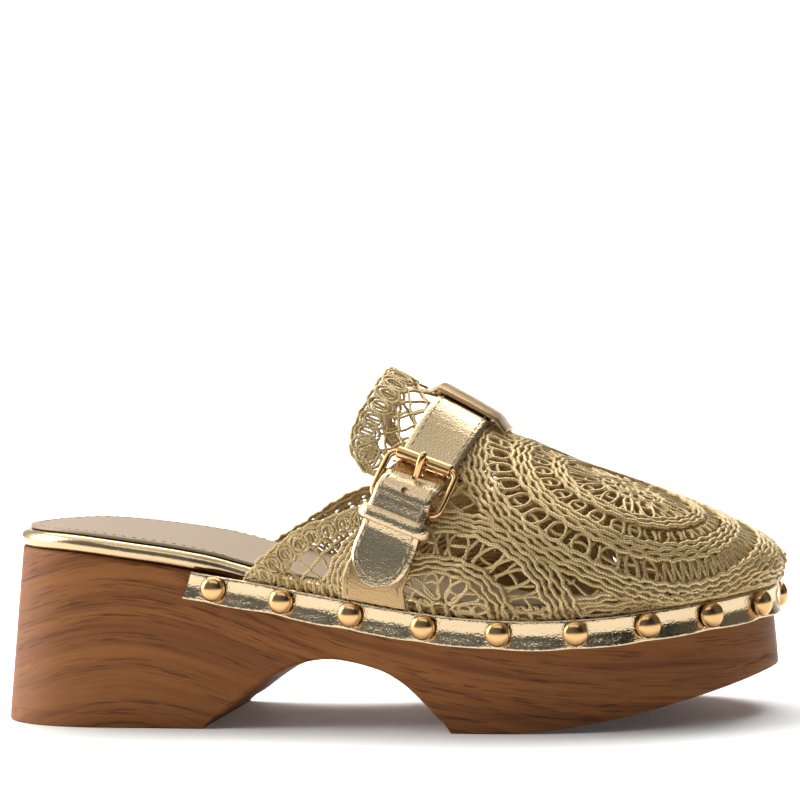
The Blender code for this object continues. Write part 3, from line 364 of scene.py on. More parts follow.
class Last:
    """Outer surface of the upper over a flat chart.

    Chart X is the ridge's x back of the focus, chart Y the arc length from the ridge, negative on
    the lateral side. In front of the focus the chart is polar about it, so the toe fans out.
    """

    def __init__(self):
        start = float(PLAN_EDGE.length_at_x(FOCUS, False))
        end = float(PLAN_EDGE.length_at_x(FOCUS, True))
        self.fan = np.linspace(start, end, 400)
        reach = PLAN_EDGE.at(self.fan) - np.array([FOCUS, RIDGE_Y])
        self.fan_angle = np.arctan2(reach[:, 1], reach[:, 0])

    def section(self, chart):
        """Sampled section line through each chart point, and the arc length along it."""
        chart_x = chart[:, 0]
        chart_y = chart[:, 1]
        in_fan = chart_x > FOCUS
        spine = np.minimum(chart_x, FOCUS)
        angle = np.arctan2(chart_y, np.maximum(chart_x - FOCUS, 0.0))
        feather_x = table_curve(spine, SPINE_RIDGE_X, SPINE_FEATHER_X)
        straight = PLAN_EDGE.length_at_x(feather_x, chart_y > 0)
        length = np.where(in_fan, np.interp(angle, self.fan_angle, self.fan), straight)
        feather = PLAN_EDGE.at(length)
        out = PLAN_EDGE.normal(length)
        forward = np.where(in_fan, np.cos(angle), 0.0)
        full = table_curve(spine, SPINE_RIDGE_X, SPINE_FULLNESS)
        full = full + (TOE_FULLNESS - full) * forward ** 2
        past_strap = smooth_step((spine - STRAP_STATION) / (FOCUS - STRAP_STATION))
        bulge = BULGE_BACK + (BULGE_FOCUS - BULGE_BACK) * past_strap
        bulge = bulge + (BULGE_TOE - bulge) * forward
        slope = table_slope(spine, SPINE_RIDGE_X, SPINE_RIDGE_Z)
        ridge_z = table_curve(spine, SPINE_RIDGE_X, SPINE_RIDGE_Z)
        feather_z = wood_top(feather[:, 0]) + GAP
        wide = feather + out * bulge[:, None]
        ridge = np.stack([spine, np.full(len(spine), RIDGE_Y)], axis=1)
        reach = wide - ridge
        turn = np.linspace(0.0, math.pi / 2, 44)[None, :]
        across = np.sin(turn) ** (2 / full[:, None])
        down = 1 - np.cos(turn).clip(0.0) ** (2 / full[:, None])
        drop = ridge_z + slope * reach[:, 0] - feather_z - BULGE_HEIGHT
        fanned = (1 - (1 - forward) ** 4)[:, None]
        ahead = reach[:, :1] * (down + (across - down) * fanned)
        plan = ridge[:, None, :] + np.stack([ahead, reach[:, 1:] * across], axis=2)
        height = ridge_z[:, None] + slope[:, None] * ahead - drop[:, None] * down
        rise = np.linspace(BULGE_HEIGHT, 0.0, 10)[1:]
        swell = bulge[:, None] * smooth_step((rise - BULGE_FOOT) / (BULGE_HEIGHT - BULGE_FOOT))[None, :]
        foot = feather[:, None, :] + out[:, None, :] * swell[..., None]
        plan = np.concatenate([plan, foot], axis=1)
        height = np.concatenate([height, feather_z[:, None] + rise[None, :]], axis=1)
        line = np.concatenate([plan, height[..., None]], axis=2)
        steps = np.linalg.norm(np.diff(line, axis=1), axis=2)
        lengths = np.concatenate([np.zeros((len(line), 1)), np.cumsum(steps, axis=1)], axis=1)
        radius = np.where(in_fan, np.hypot(chart_x - FOCUS, chart_y), np.abs(chart_y))
        return line, lengths, radius

    def point(self, chart):
        line, lengths, radius = self.section(np.asarray(chart, float))
        row = np.clip((lengths <= radius[:, None]).sum(axis=1) - 1, 0, lengths.shape[1] - 2)
        pick = np.arange(len(row))
        part = (radius - lengths[pick, row]) / (lengths[pick, row + 1] - lengths[pick, row])
        return line[pick, row] + (line[pick, row + 1] - line[pick, row]) * part[:, None]

    def girth(self, chart):
        """Arc length from the ridge to the feather line, through each chart point."""
        return self.section(np.asarray(chart, float))[1][:, -1]

    def frame(self, chart):
        """Points and outward normals."""
        chart = np.asarray(chart, float)
        step = 0.4
        by_x = self.point(chart + (step, 0.0)) - self.point(chart - (step, 0.0))
        by_y = self.point(chart + (0.0, step)) - self.point(chart - (0.0, step))
        return self.point(chart), unit(np.cross(by_x, by_y))

    def up(self, chart):
        """Arc length above the feather line."""
        _, lengths, radius = self.section(np.asarray(chart, float))
        return lengths[:, -1] - radius


LAST = Last()


def station_of_feather(feather_x):
    spine = np.linspace(SPINE_RIDGE_X[0] - 10, FOCUS, 1200)
    return np.interp(feather_x, table_curve(spine, SPINE_RIDGE_X, SPINE_FEATHER_X), spine)


def chart_up(station, up, side):
    """Chart point on a straight section, an arc length up from the feather line."""
    station = np.atleast_1d(np.asarray(station, float))
    up = np.broadcast_to(np.asarray(up, float), station.shape)
    probe = np.stack([station, np.full(len(station), float(side))], axis=1)
    return np.stack([station, side * (LAST.girth(probe) - up)], axis=1)


def collar_side(side):
    """Collar on one side in the chart, from the feather line to the crown."""
    rows = np.asarray(COLLAR)
    feather_x = rows[:, 1] if side < 0 else rows[:, 2]
    turns = chart_up(station_of_feather(feather_x), rows[:, 0], side)
    points = np.concatenate([turns, [[turns[-1, 0] + 0.6, 0.0]]])
    steps = line_lengths(points)
    fine = np.linspace(0.0, steps[-1], 600)
    line = np.stack([table_curve(fine, steps, points[:, k]) for k in range(2)], axis=1)
    return evened(line, LINE_STEP)


def feather_line(up):
    """Chart line a height up from the feather line, from the lateral back round the toe."""
    starts = [float(station_of_feather(x)) for x in COLLAR[0][1:]]
    lateral = chart_up(np.arange(starts[0], FOCUS - 1.0, LINE_STEP), up, -1.0)
    medial = chart_up(np.arange(starts[1], FOCUS - 1.0, LINE_STEP)[::-1], up, 1.0)
    fan = ways(np.linspace(-math.pi / 2, math.pi / 2, 160))
    focus = np.array([FOCUS + 1e-3, 0.0])
    reach = LAST.girth(focus + fan) - up
    return np.concatenate([lateral, focus + fan * reach[:, None], medial])


def inside_polygon(points, polygon):
    x = points[:, 0][:, None]
    y = points[:, 1][:, None]
    x0, y0 = polygon[:, 0][None, :], polygon[:, 1][None, :]
    x1, y1 = np.roll(polygon[:, 0], -1)[None, :], np.roll(polygon[:, 1], -1)[None, :]
    spans = (y0 > y) != (y1 > y)
    rise = np.where(y1 == y0, 1.0, y1 - y0)
    crossing = x < (x1 - x0) * (y - y0) / rise + x0
    return (spans & crossing).sum(axis=1) % 2 == 1


# Small tools for meshes and materials

def rgb(hexes):
    """Linear colour of an sRGB hex value."""
    parts = [int(hexes[k:k + 2], 16) / 255 for k in (0, 2, 4)]
    return tuple(c / 12.92 if c <= 0.04045 else ((c + 0.055) / 1.055) ** 2.4 for c in parts) + (1.0,)


def add_node(tree, kind, links=None, stops=(), **settings):
    """Node with its settings; links fill its inputs with values or outputs, stops a ramp from end to end."""
    node = tree.nodes.new(kind)
    if stops:
        elements = node.color_ramp.elements
        for element, (position, colour) in zip((elements[0], elements[1]), (stops[0], stops[-1])):
            element.position = position
            element.color = colour
        for position, colour in stops[1:-1]:
            elements.new(position).color = colour
    for key, value in settings.items():
        setattr(node, key, value)
    for key, value in (links or {}).items():
        if isinstance(value, bpy.types.NodeSocket):
            tree.links.new(value, node.inputs[key])
        else:
            node.inputs[key].default_value = value
    return node


def new_material(name, finish):
    """Material, its node tree and its shader, whose inputs are set as the finish says."""
    made = bpy.data.materials.new(name)
    made.use_nodes = True
    shader = made.node_tree.nodes["Principled BSDF"]
    for key, value in finish.items():
        shader.inputs[key].default_value = value
    return made, made.node_tree, shader


def millimetres(tree):
    """Object coordinates in millimetres."""
    coordinates = add_node(tree, "ShaderNodeTexCoord").outputs["Object"]
    return add_node(tree, "ShaderNodeMapping", {"Vector": coordinates,
                                                "Scale": [1 / MM] * 3}).outputs["Vector"]


def deselect():
    if bpy.context.object and bpy.context.object.mode != "OBJECT":
        bpy.ops.object.mode_set(mode="OBJECT")
    bpy.ops.object.select_all(action="DESELECT")


def take_up(piece):
    """Make a piece the only selected and active one."""
    deselect()
    piece.select_set(True)
    bpy.context.view_layer.objects.active = piece


def select_only(piece, chosen):
    """Go to edit mode with only the vertices selected whose place is chosen."""
    take_up(piece)
    bpy.ops.object.mode_set(mode="EDIT")
    bpy.ops.mesh.select_mode(type="VERT")
    bpy.ops.mesh.select_all(action="DESELECT")
    bpy.ops.object.mode_set(mode="OBJECT")
    for vertex in piece.data.vertices:
        vertex.select = chosen(vertex.co)
    bpy.ops.object.mode_set(mode="EDIT")


def edit_all(piece):
    """Go to edit mode with all of a piece selected."""
    take_up(piece)
    bpy.ops.object.mode_set(mode="EDIT")
    bpy.ops.mesh.select_all(action="SELECT")


def apply_modifiers(piece):
    take_up(piece)
    for modifier in list(piece.modifiers):
        bpy.ops.object.modifier_apply(modifier=modifier.name)


def stand_on(piece, place, normal):
    """Move a piece to a place in the last's frame, its Z along a normal."""
    turn = Vector(normal).to_track_quat("Z", "Y").to_matrix().to_4x4()
    piece.matrix_world = Matrix.Translation(Vector((place + STAND) * MM)) @ turn


def seat_piece(piece, finish, slot, *nodes):
    """Give a finished piece its material and body, and hide the solids that it stands for."""
    piece.data.materials.clear()
    piece.data.materials.append(finish)
    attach(piece, "root")
    if nodes:
        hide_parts(*nodes)
    return piece


def new_object(name, data):
    made = bpy.data.objects.new(name, data)
    bpy.context.scene.collection.objects.link(made)
    return made


def mesh_piece(name, vertices, faces):
    """Mesh from arrays in the last's frame, shaded smooth."""
    mesh = bpy.data.meshes.new(name)
    mesh.from_pydata(((np.asarray(vertices) + STAND) * MM).tolist(), [], faces)
    mesh.update()
    mesh.shade_smooth()
    return new_object(name, mesh)


def joined_copy(node, name):
    """Copy of a solid with its loose triangles joined to quads."""
    piece = new_object(name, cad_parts[node].data.copy())
    take_up(piece)
    bpy.ops.mesh.customdata_custom_splitnormals_clear()
    edit_all(piece)
    bpy.ops.mesh.remove_doubles(threshold=0.01 * MM)
    bpy.ops.mesh.tris_convert_to_quads(face_threshold=math.radians(30), shape_threshold=math.radians(60))
    bpy.ops.object.mode_set(mode="OBJECT")
    bpy.ops.object.shade_smooth()
    return piece


def weigh_normals(piece):
    """Shade a piece's faces flat between its rounded edges."""
    weigh = piece.modifiers.new("weigh", "WEIGHTED_NORMAL")
    weigh.mode = "FACE_AREA"
    weigh.keep_sharp = False
    apply_modifiers(piece)


def eased_copy(node, name, ease, segments, flat=True):
    """Copy of a solid with its edges rounded, and its faces shaded flat between them or not."""
    piece = joined_copy(node, name)
    bevel = piece.modifiers.new("ease", "BEVEL")
    bevel.width = ease * MM
    bevel.segments = segments
    bevel.limit_method = "ANGLE"
    bevel.angle_limit = math.radians(28)
    bevel.use_clamp_overlap = True
    apply_modifiers(piece)
    if flat:
        weigh_normals(piece)
    return piece


def lofted_piece(name, rings, smooth):
    """Closed piece through a row of closed rings, shaded smooth up to an angle in degrees."""
    count, size = rings.shape[:2]
    faces = [(row * size + k, row * size + (k + 1) % size, (row + 1) * size + (k + 1) % size,
              (row + 1) * size + k) for row in range(count - 1) for k in range(size)]
    faces += [tuple(reversed(range(size))), tuple((count - 1) * size + k for k in range(size))]
    piece = mesh_piece(name, rings.reshape(-1, 3), faces)
    edit_all(piece)
    bpy.ops.mesh.normals_make_consistent(inside=False)
    bpy.ops.object.mode_set(mode="OBJECT")
    bpy.ops.object.shade_smooth_by_angle(angle=math.radians(smooth))
    return piece


# Materials

def two_ply_cord():
    """Two-ply cord with a gold thread: soft gloss on the plies, and painted shade, dark brown, in the twist
    between them.
    """
    made, tree, shader = new_material("two_ply_gold_cord", {"Metallic": 0.5, "Roughness": 0.36})
    ply = add_node(tree, "ShaderNodeUVMap", uv_map="ply").outputs["UV"]
    parts = add_node(tree, "ShaderNodeSeparateXYZ", {"Vector": ply})
    twist = add_node(tree, "ShaderNodeMath", {0: parts.outputs["X"], 1: parts.outputs["Y"]}, operation="ADD")
    angle = add_node(tree, "ShaderNodeMath", {0: twist.outputs[0], 1: 2 * math.pi}, operation="MULTIPLY")
    wave = add_node(tree, "ShaderNodeMath", {0: angle.outputs[0]}, operation="SINE")
    height = add_node(tree, "ShaderNodeMath", {0: wave.outputs[0]}, operation="ABSOLUTE").outputs[0]
    ply_lit_share = add_node(tree, "ShaderNodeMath", {0: height, 1: 0.5, 2: 0.5}, operation="MULTIPLY_ADD").outputs[0]
    # The tone varies from cord to cord, and in flecks about two millimetres across
    tint = add_node(tree, "ShaderNodeAttribute", attribute_name="tint").outputs["Fac"]
    fleck = add_node(tree, "ShaderNodeTexNoise", {"Vector": millimetres(tree), "Scale": 0.5,
                                                  "Detail": 3.0}).outputs["Fac"]
    mixed = add_node(tree, "ShaderNodeMath", {0: tint, 1: 0.4, 2: fleck}, operation="MULTIPLY_ADD")
    ramp = add_node(tree, "ShaderNodeValToRGB", {"Fac": mixed.outputs[0]},
                    ((0.3, rgb("b99b61")), (1.0, rgb("e8cf9a"))))
    # Painted shade: the colour goes dark brown down in the twist between the plies, where shade falls
    colour = add_node(tree, "ShaderNodeMix", {0: ply_lit_share, 6: rgb("5a4320"), 7: ramp.outputs["Color"]},
                      data_type="RGBA", blend_type="MIX").outputs[2]
    bump = add_node(tree, "ShaderNodeBump", {"Height": height, "Strength": 0.45,
                                             "Distance": 0.12 * MM}).outputs["Normal"]
    tree.links.new(colour, shader.inputs["Base Color"])
    tree.links.new(bump, shader.inputs["Normal"])
    return made


def printed_wood():
    """Moulded block printed as wood: arched grain on the heel that levels out along the sole."""
    made, tree, shader = new_material("printed_wood_block", {"Roughness": 0.52, "Specular IOR Level": 0.25})
    parts = add_node(tree, "ShaderNodeSeparateXYZ", {"Vector": millimetres(tree)})
    away = add_node(tree, "ShaderNodeMath", {0: parts.outputs["X"], 1: -ARCH_X}, operation="ADD").outputs[0]
    share = add_node(tree, "ShaderNodeMath", {0: away, 1: ARCH_WIDTH}, operation="DIVIDE").outputs[0]
    square = add_node(tree, "ShaderNodeMath", {0: share, 1: share}, operation="MULTIPLY").outputs[0]
    below = add_node(tree, "ShaderNodeMath", {0: square, 1: 1.0}, operation="ADD").outputs[0]
    eased = add_node(tree, "ShaderNodeMath", {0: square, 1: below}, operation="DIVIDE").outputs[0]
    height = add_node(tree, "ShaderNodeMath", {0: eased, 1: ARCH_DROP, 2: parts.outputs["Z"]},
                      operation="MULTIPLY_ADD").outputs[0]
    grain = add_node(tree, "ShaderNodeCombineXYZ", {"X": parts.outputs["X"], "Y": parts.outputs["Y"],
                                                    "Z": height}).outputs["Vector"]
    # Streaks half a millimetre to eight millimetres high, and ten to thirty times as long
    white = (1.0, 1.0, 1.0, 1.0)
    noises = {}
    tones = {}
    for layer, scale, detail, distortion, stops in (
            ("ground", (0.012, 0.012, 0.12), 3.0, 0.4, ((0.3, rgb("814c1f")), (0.7, rgb("925a27")))),
            ("bands", (0.012, 0.012, 0.26), 3.0, 0.3, ((0.36, (0.7, 0.62, 0.52, 1.0)), (0.5, white))),
            ("pores", (0.08, 0.08, 1.9), 3.0, 0.3, ((0.37, (0.46, 0.38, 0.31, 1.0)), (0.46, white))),
            ("cluster", (0.016, 0.016, 0.24), 2.0, 0.0, ((0.45, white), (0.6, (0.2, 0.2, 0.2, 1.0)))),
            ("faint", (0.05, 0.05, 1.6), 4.0, 0.6, ((0.32, (0.86, 0.81, 0.74, 1.0)), (0.46, white)))):
        stretched = add_node(tree, "ShaderNodeMapping", {"Vector": grain, "Scale": scale}).outputs["Vector"]
        noises[layer] = add_node(tree, "ShaderNodeTexNoise", {
            "Vector": stretched, "Scale": 1.0, "Detail": detail, "Distortion": distortion}).outputs["Fac"]
        ramp = add_node(tree, "ShaderNodeValToRGB", {"Fac": noises[layer]}, stops)
        tones[layer] = ramp.outputs["Color"]
    rise = add_node(tree, "ShaderNodeMath", {0: height, 1: BELT_HEIGHT}, operation="SUBTRACT").outputs[0]
    apart = add_node(tree, "ShaderNodeMath", {0: rise}, operation="ABSOLUTE").outputs[0]
    near = add_node(tree, "ShaderNodeMath", {0: apart, 1: BELT_REACH}, operation="DIVIDE").outputs[0]
    belt = add_node(tree, "ShaderNodeValToRGB", {"Fac": near}, ((0.25, (0.8, 0.75, 0.7, 1.0)), (1.0, white)))
    sparse = add_node(tree, "ShaderNodeMix", {0: tones["cluster"], 6: white, 7: tones["pores"]},
                      data_type="RGBA").outputs[2]
    colour = tones["ground"]
    for layer in (belt.outputs["Color"], tones["bands"], sparse, tones["faint"]):
        colour = add_node(tree, "ShaderNodeMix", {0: 1.0, 6: colour, 7: layer}, data_type="RGBA",
                          blend_type="MULTIPLY").outputs[2]
    bump = add_node(tree, "ShaderNodeBump", {"Height": noises["pores"], "Strength": 0.12,
                                             "Distance": 0.15 * MM}).outputs["Normal"]
    tree.links.new(colour, shader.inputs["Base Color"])
    tree.links.new(bump, shader.inputs["Normal"])
    return made


def gold_leather(name, colour, roughness, metallic, grained, crinkle):
    """Foiled leather: a metal film over fine grain and soft crinkles."""
    made, tree, shader = new_material(name, {"Base Color": rgb(colour), "Metallic": metallic,
                                             "Roughness": roughness})
    # Grain cells half a millimetre across, crinkles a little over one
    grain = add_node(tree, "ShaderNodeTexVoronoi", {"Vector": millimetres(tree), "Scale": 2.0},
                     feature="SMOOTH_F1").outputs["Distance"]
    folds = add_node(tree, "ShaderNodeTexNoise", {"Vector": millimetres(tree), "Scale": 0.75, "Detail": 3.0,
                                                  "Distortion": 0.4}).outputs["Fac"]
    fine = add_node(tree, "ShaderNodeBump", {"Height": grain, "Strength": grained,
                                             "Distance": 0.2 * MM}).outputs["Normal"]
    bump = add_node(tree, "ShaderNodeBump", {"Height": folds, "Strength": 0.34 * crinkle,
                                             "Distance": 0.35 * MM, "Normal": fine}).outputs["Normal"]
    tree.links.new(bump, shader.inputs["Normal"])
    return made


# Even finishes: mirror-bright plate on the studs and the buckle, sewing thread, and matt studio paper
PLATE = {"Base Color": rgb("d8ae77"), "Metallic": 1.0, "Roughness": 0.2}
SEWING_THREAD = {"Base Color": rgb("b9a27c"), "Metallic": 0.2, "Roughness": 0.5}
PAPER = {"Base Color": (0.92, 0.92, 0.92, 1.0), "Roughness": 0.7, "Emission Color": (1.0, 1.0, 1.0, 1.0),
         "Emission Strength": 0.04}


# Lines in the chart

def way(degrees):
    turn = math.radians(degrees)
    return np.array([math.cos(turn), math.sin(turn)])


def turned(direction):
    """Direction a quarter turn to the left."""
    return np.array([-direction[1], direction[0]])


def arc(centre, radius, start, end):
    count = max(8, round(abs(math.radians(end - start)) * radius / LINE_STEP))
    turns = np.radians(np.linspace(start, end, count + 1))
    return centre + radius * ways(turns)


def oval(centre, along, long_half, short_half):
    """Closed oval whose long axis lies along a direction."""
    turns = np.linspace(0.0, 2 * math.pi, 30)
    return (centre + np.outer(np.cos(turns), along) * long_half
            + np.outer(np.sin(turns), turned(along)) * short_half)


def stroke(start, end, bow=0.0):
    """Line between two points, bowed to its left."""
    t = np.linspace(0.0, 1.0, 12)[:, None]
    span = end - start
    left = turned(span) / np.linalg.norm(span)
    return start + span * t + left * bow * np.sin(math.pi * t)


def left_of(line):
    """Unit directions square to a line."""
    along = unit(np.gradient(line, axis=0))
    return np.stack([-along[:, 1], along[:, 0]], axis=1)


def swayed(line, amount, wave):
    """Line that wanders to either side, as hand-laid cord does."""
    lengths = line_lengths(line)
    phases = CHANCE.uniform(0.0, 2 * math.pi, 2)
    shift = (np.sin(2 * math.pi * lengths / wave + phases[0])
             + 0.6 * np.sin(2 * math.pi * lengths / (0.43 * wave) + phases[1]))
    return line + left_of(line) * (amount * shift)[:, None]


def true_runs(keep):
    """Slices of a mask's unbroken runs."""
    edges = np.flatnonzero(np.diff(np.concatenate([[0], keep.astype(int), [0]])))
    return [slice(a, b) for a, b in zip(edges[::2], edges[1::2])]


class Lace:
    """Cords of the upper, each a chart line with its radius and its lift above the last."""

    def __init__(self):
        medial = collar_side(1.0)
        lateral = collar_side(-1.0)
        self.collar = np.concatenate([lateral, medial[::-1][1:]])
        self.outline = np.concatenate([feather_line(0.0), medial[1:], lateral[::-1][1:-1]])
        station = float(station_of_feather(FAN_FEATHER_X))
        self.fans = [chart_up(station, FAN_UP, side)[0] for side in (-1.0, 1.0)]
        self.cords = {}

    def lay(self, group, line, radius, lift, sway, wave, where=None):
        line = swayed(evened(line, RING_STEP), sway, wave)
        keep = inside_polygon(line, self.outline)
        if where is not None:
            keep &= where(line)
        for run in true_runs(keep):
            if run.stop - run.start > 4:
                self.cords.setdefault(group, []).append((line[run], radius, lift))

    def off_medallion(self, chart):
        return np.linalg.norm(chart - MEDALLION, axis=1) > MEDALLION_EDGE

    def off_fans(self, chart):
        return np.min([np.linalg.norm(chart - fan, axis=1) for fan in self.fans], axis=0) > FAN_EDGE

    def off_medial_ring(self, chart):
        return (np.linalg.norm(chart - MEDALLION, axis=1) > OUTER_EDGE) | (chart[:, 1] < MEDIAL_START)

    def from_collar(self, chart):
        return np.linalg.norm(chart[:, None, :] - self.collar[None, ::3, :], axis=2).min(axis=1)


# Motifs of the lace

def lay_band(lace, group, centre, radius, cords, start, end, where=None):
    """Cords laid side by side round a centre."""
    for row in range(cords):
        offset = (row - (cords - 1) / 2) * CORD_PITCH
        lace.lay(group, arc(centre, radius + offset, start, end), CORD, BAND_LIFT, 0.32, 6.4, where)


def lay_ovals(lace, group, centre, inner, outer, start, end, pitch, where=None):
    """Ring of ovals, each with a stroke across it and a pair of rungs beside it."""
    middle = (inner + outer) / 2
    half = (outer - inner) / 2
    count = max(1, round(math.radians(abs(end - start)) * middle / pitch))
    for cell in range(count):
        turn = start + (end - start) * (cell + 0.5) / count
        edge = start + (end - start) * cell / count
        out = way(turn + CHANCE.uniform(-12.0, 12.0))
        across = turned(out)
        spot = centre + way(turn) * middle
        wide = 0.31 * pitch
        lace.lay(group, oval(spot, out, half + 0.7, wide), LOOP_CORD, LOOP_LIFT + 0.35, 0.1, 6.0, where)
        bar = spot + out * CHANCE.uniform(-0.35, 0.35) * half
        bow = CHANCE.uniform(-1.0, 1.0)
        lace.lay(group, stroke(bar - across * wide, bar + across * wide, bow), LOOP_CORD, LOOP_LIFT, 0.0,
                 6.0, where)
        for shift in (-0.7, 0.7):
            aside = way(edge + 90.0) * shift
            rung = stroke(centre + way(edge) * inner + aside, centre + way(edge) * outer + aside, shift)
            lace.lay(group, rung, LOOP_CORD, LOOP_LIFT, 0.1, 6.0, where)


def lay_rungs(lace, group, centre, inner, outer, start, end, pitch, where=None):
    """Close radial rungs, leaning to and fro."""
    count = max(1, round(math.radians(abs(end - start)) * (inner + outer) / 2 / pitch))
    for cell in range(count):
        turn = start + (end - start) * (cell + 0.5) / count
        lean = CHANCE.uniform(-2.0, 2.0)
        rung = stroke(centre + way(turn - lean) * inner, centre + way(turn + lean) * outer,
                      0.5 if cell % 2 else -0.5)
        lace.lay(group, rung, LOOP_CORD, LOOP_LIFT, 0.1, 6.0, where)


def lay_wave(lace, inner, outer, start, end, pitch, looped):
    """One cord running round a ring of the medallion, in overlapping loops or to and fro."""
    middle = (inner + outer) / 2
    half = (outer - inner) / 2 + 0.3
    turns = math.radians(abs(end - start)) * middle / pitch
    t = np.linspace(0.0, turns, max(20, round(turns * (26 if looped else 20))))
    swing = 2 * math.pi * t
    if looped:
        along = t + 0.34 * np.sin(swing)
        reach = middle + half * np.cos(swing)
    else:
        along = t
        reach = middle + half * np.arcsin(0.96 * np.sin(swing)) / 1.29
    angle = np.radians(start + (end - start) * along / turns)
    line = MEDALLION + reach[:, None] * ways(angle)
    lace.lay("vamp", line, LOOP_CORD, LOOP_LIFT, 0.12, 7.0)


def lay_medallion(lace):
    """Vamp: three bands of cords round a core, with open rings between them."""
    for radius, cords in zip(BAND_RADII, BAND_CORDS):
        lay_band(lace, "vamp", MEDALLION, radius, cords, 0.0, 360.0)
    for radius in (1.4, 3.2, 5.0, 8.6, 10.0):
        lace.lay("vamp", arc(MEDALLION, radius, 0.0, 360.0), LOOP_CORD, LOOP_LIFT, 0.2, 7.0)
    lay_wave(lace, 5.2, 8.6, 0.0, 360.0, 4.0, True)
    lay_ovals(lace, "vamp", MEDALLION, 10.6, 19.2, 0.0, 360.0, 6.2)
    lay_ovals(lace, "vamp", MEDALLION, *INNER_RING, 160.0, 288.0, 6.2)
    lay_rungs(lace, "vamp", MEDALLION, *INNER_RING, -72.0, 12.0, 2.2)
    lay_ovals(lace, "vamp", MEDALLION, *INNER_RING, 12.0, 160.0, 6.2)
    lay_ovals(lace, "vamp", MEDALLION, *OUTER_RING, 150.0, 292.0, 7.2)
    lay_wave(lace, *OUTER_RING, -68.0, 20.0, 3.6, False)
    lay_ovals(lace, "vamp", MEDALLION, *OUTER_RING, 20.0, 150.0, 7.2)


def lay_fans(lace):
    """Half rounds standing on the rand below the strap, and the medial ring beside the medallion."""
    def beside(chart):
        return lace.off_medallion(chart) & lace.off_medial_ring(chart)

    for fan, start in zip(lace.fans, (-15.0, 165.0)):
        end = start + 210.0
        lay_band(lace, "fans", fan, FAN_RADII[0], 4, start, end)
        lay_band(lace, "fans", fan, FAN_RADII[1], 5, start, end, beside)
        lay_ovals(lace, "fans", fan, 15.4, 22.8, start, end, 7.4, beside)
        lay_ovals(lace, "fans", fan, 2.6, 9.6, start, end, 5.2)

    def medial_front(chart):
        return (chart[:, 1] > MEDIAL_START) & lace.off_fans(chart)

    lay_ovals(lace, "fans", MEDALLION, 49.4, 55.0, *OUTER_ARC, 7.2, medial_front)
    lay_band(lace, "fans", MEDALLION, OUTER_BAND, 5, *OUTER_ARC, medial_front)


def lay_columns(lace):
    """Close rungs and rows that fill the rings on the medial side."""
    def medial(chart):
        return chart[:, 1] > ROWS_START

    def outer(chart):
        return medial(chart) & lace.off_fans(chart)

    def rows(centre, inner, rim, start, end, where):
        for radius in np.arange(inner, rim, ROW_PITCH):
            lace.lay("columns", arc(centre, radius, start, end), CORD, LOOP_LIFT - 0.35, 0.2, 7.0, where)

    for inner, rim in ((10.4, 19.4), (24.6, 29.8), (36.2, 42.6)):
        lay_rungs(lace, "columns", MEDALLION, inner, rim, 0.0, 180.0, RUNG_PITCH, medial)
    lay_rungs(lace, "columns", MEDALLION, 49.2, 55.2, *OUTER_ARC, RUNG_PITCH, outer)
    for inner, rim in ((0.8, 10.2), (15.2, 23.0)):
        lay_rungs(lace, "columns", lace.fans[1], inner, rim, 90.0, 450.0, RUNG_PITCH, lace.off_medial_ring)
    rows(MEDALLION, 10.4, MEDALLION_EDGE, 0.0, 180.0, medial)
    rows(MEDALLION, MEDALLION_EDGE, OUTER_EDGE, *OUTER_ARC, outer)
    rows(MEDALLION, OUTER_EDGE, 84.0, 60.0, 130.0, outer)
    rows(lace.fans[1], 1.4, FAN_EDGE, 90.0, 450.0, lace.off_medallion)


def lay_toe_edge(lace):
    """Cords that follow the rand round the toe, and a fringe of small loops behind them."""
    def toe(chart):
        return (chart[:, 0] > TOE_EDGE_START) & lace.off_medallion(chart) & lace.off_fans(chart)

    def behind(chart):
        return chart[:, 0] < TOE_EDGE_START

    for up in (2.6, 4.1, 5.6, 7.1, 8.6):
        lace.lay("fans", feather_line(up), CORD, LOOP_LIFT, 0.3, 10.0, toe)
    fringe = evened(feather_line(3.6), 3.0)
    for spot, out in zip(fringe[1:-1], left_of(fringe)[1:-1]):
        lace.lay("fans", oval(spot, out, 2.5, 1.7), LOOP_CORD, LOOP_LIFT, 0.1, 6.0, behind)


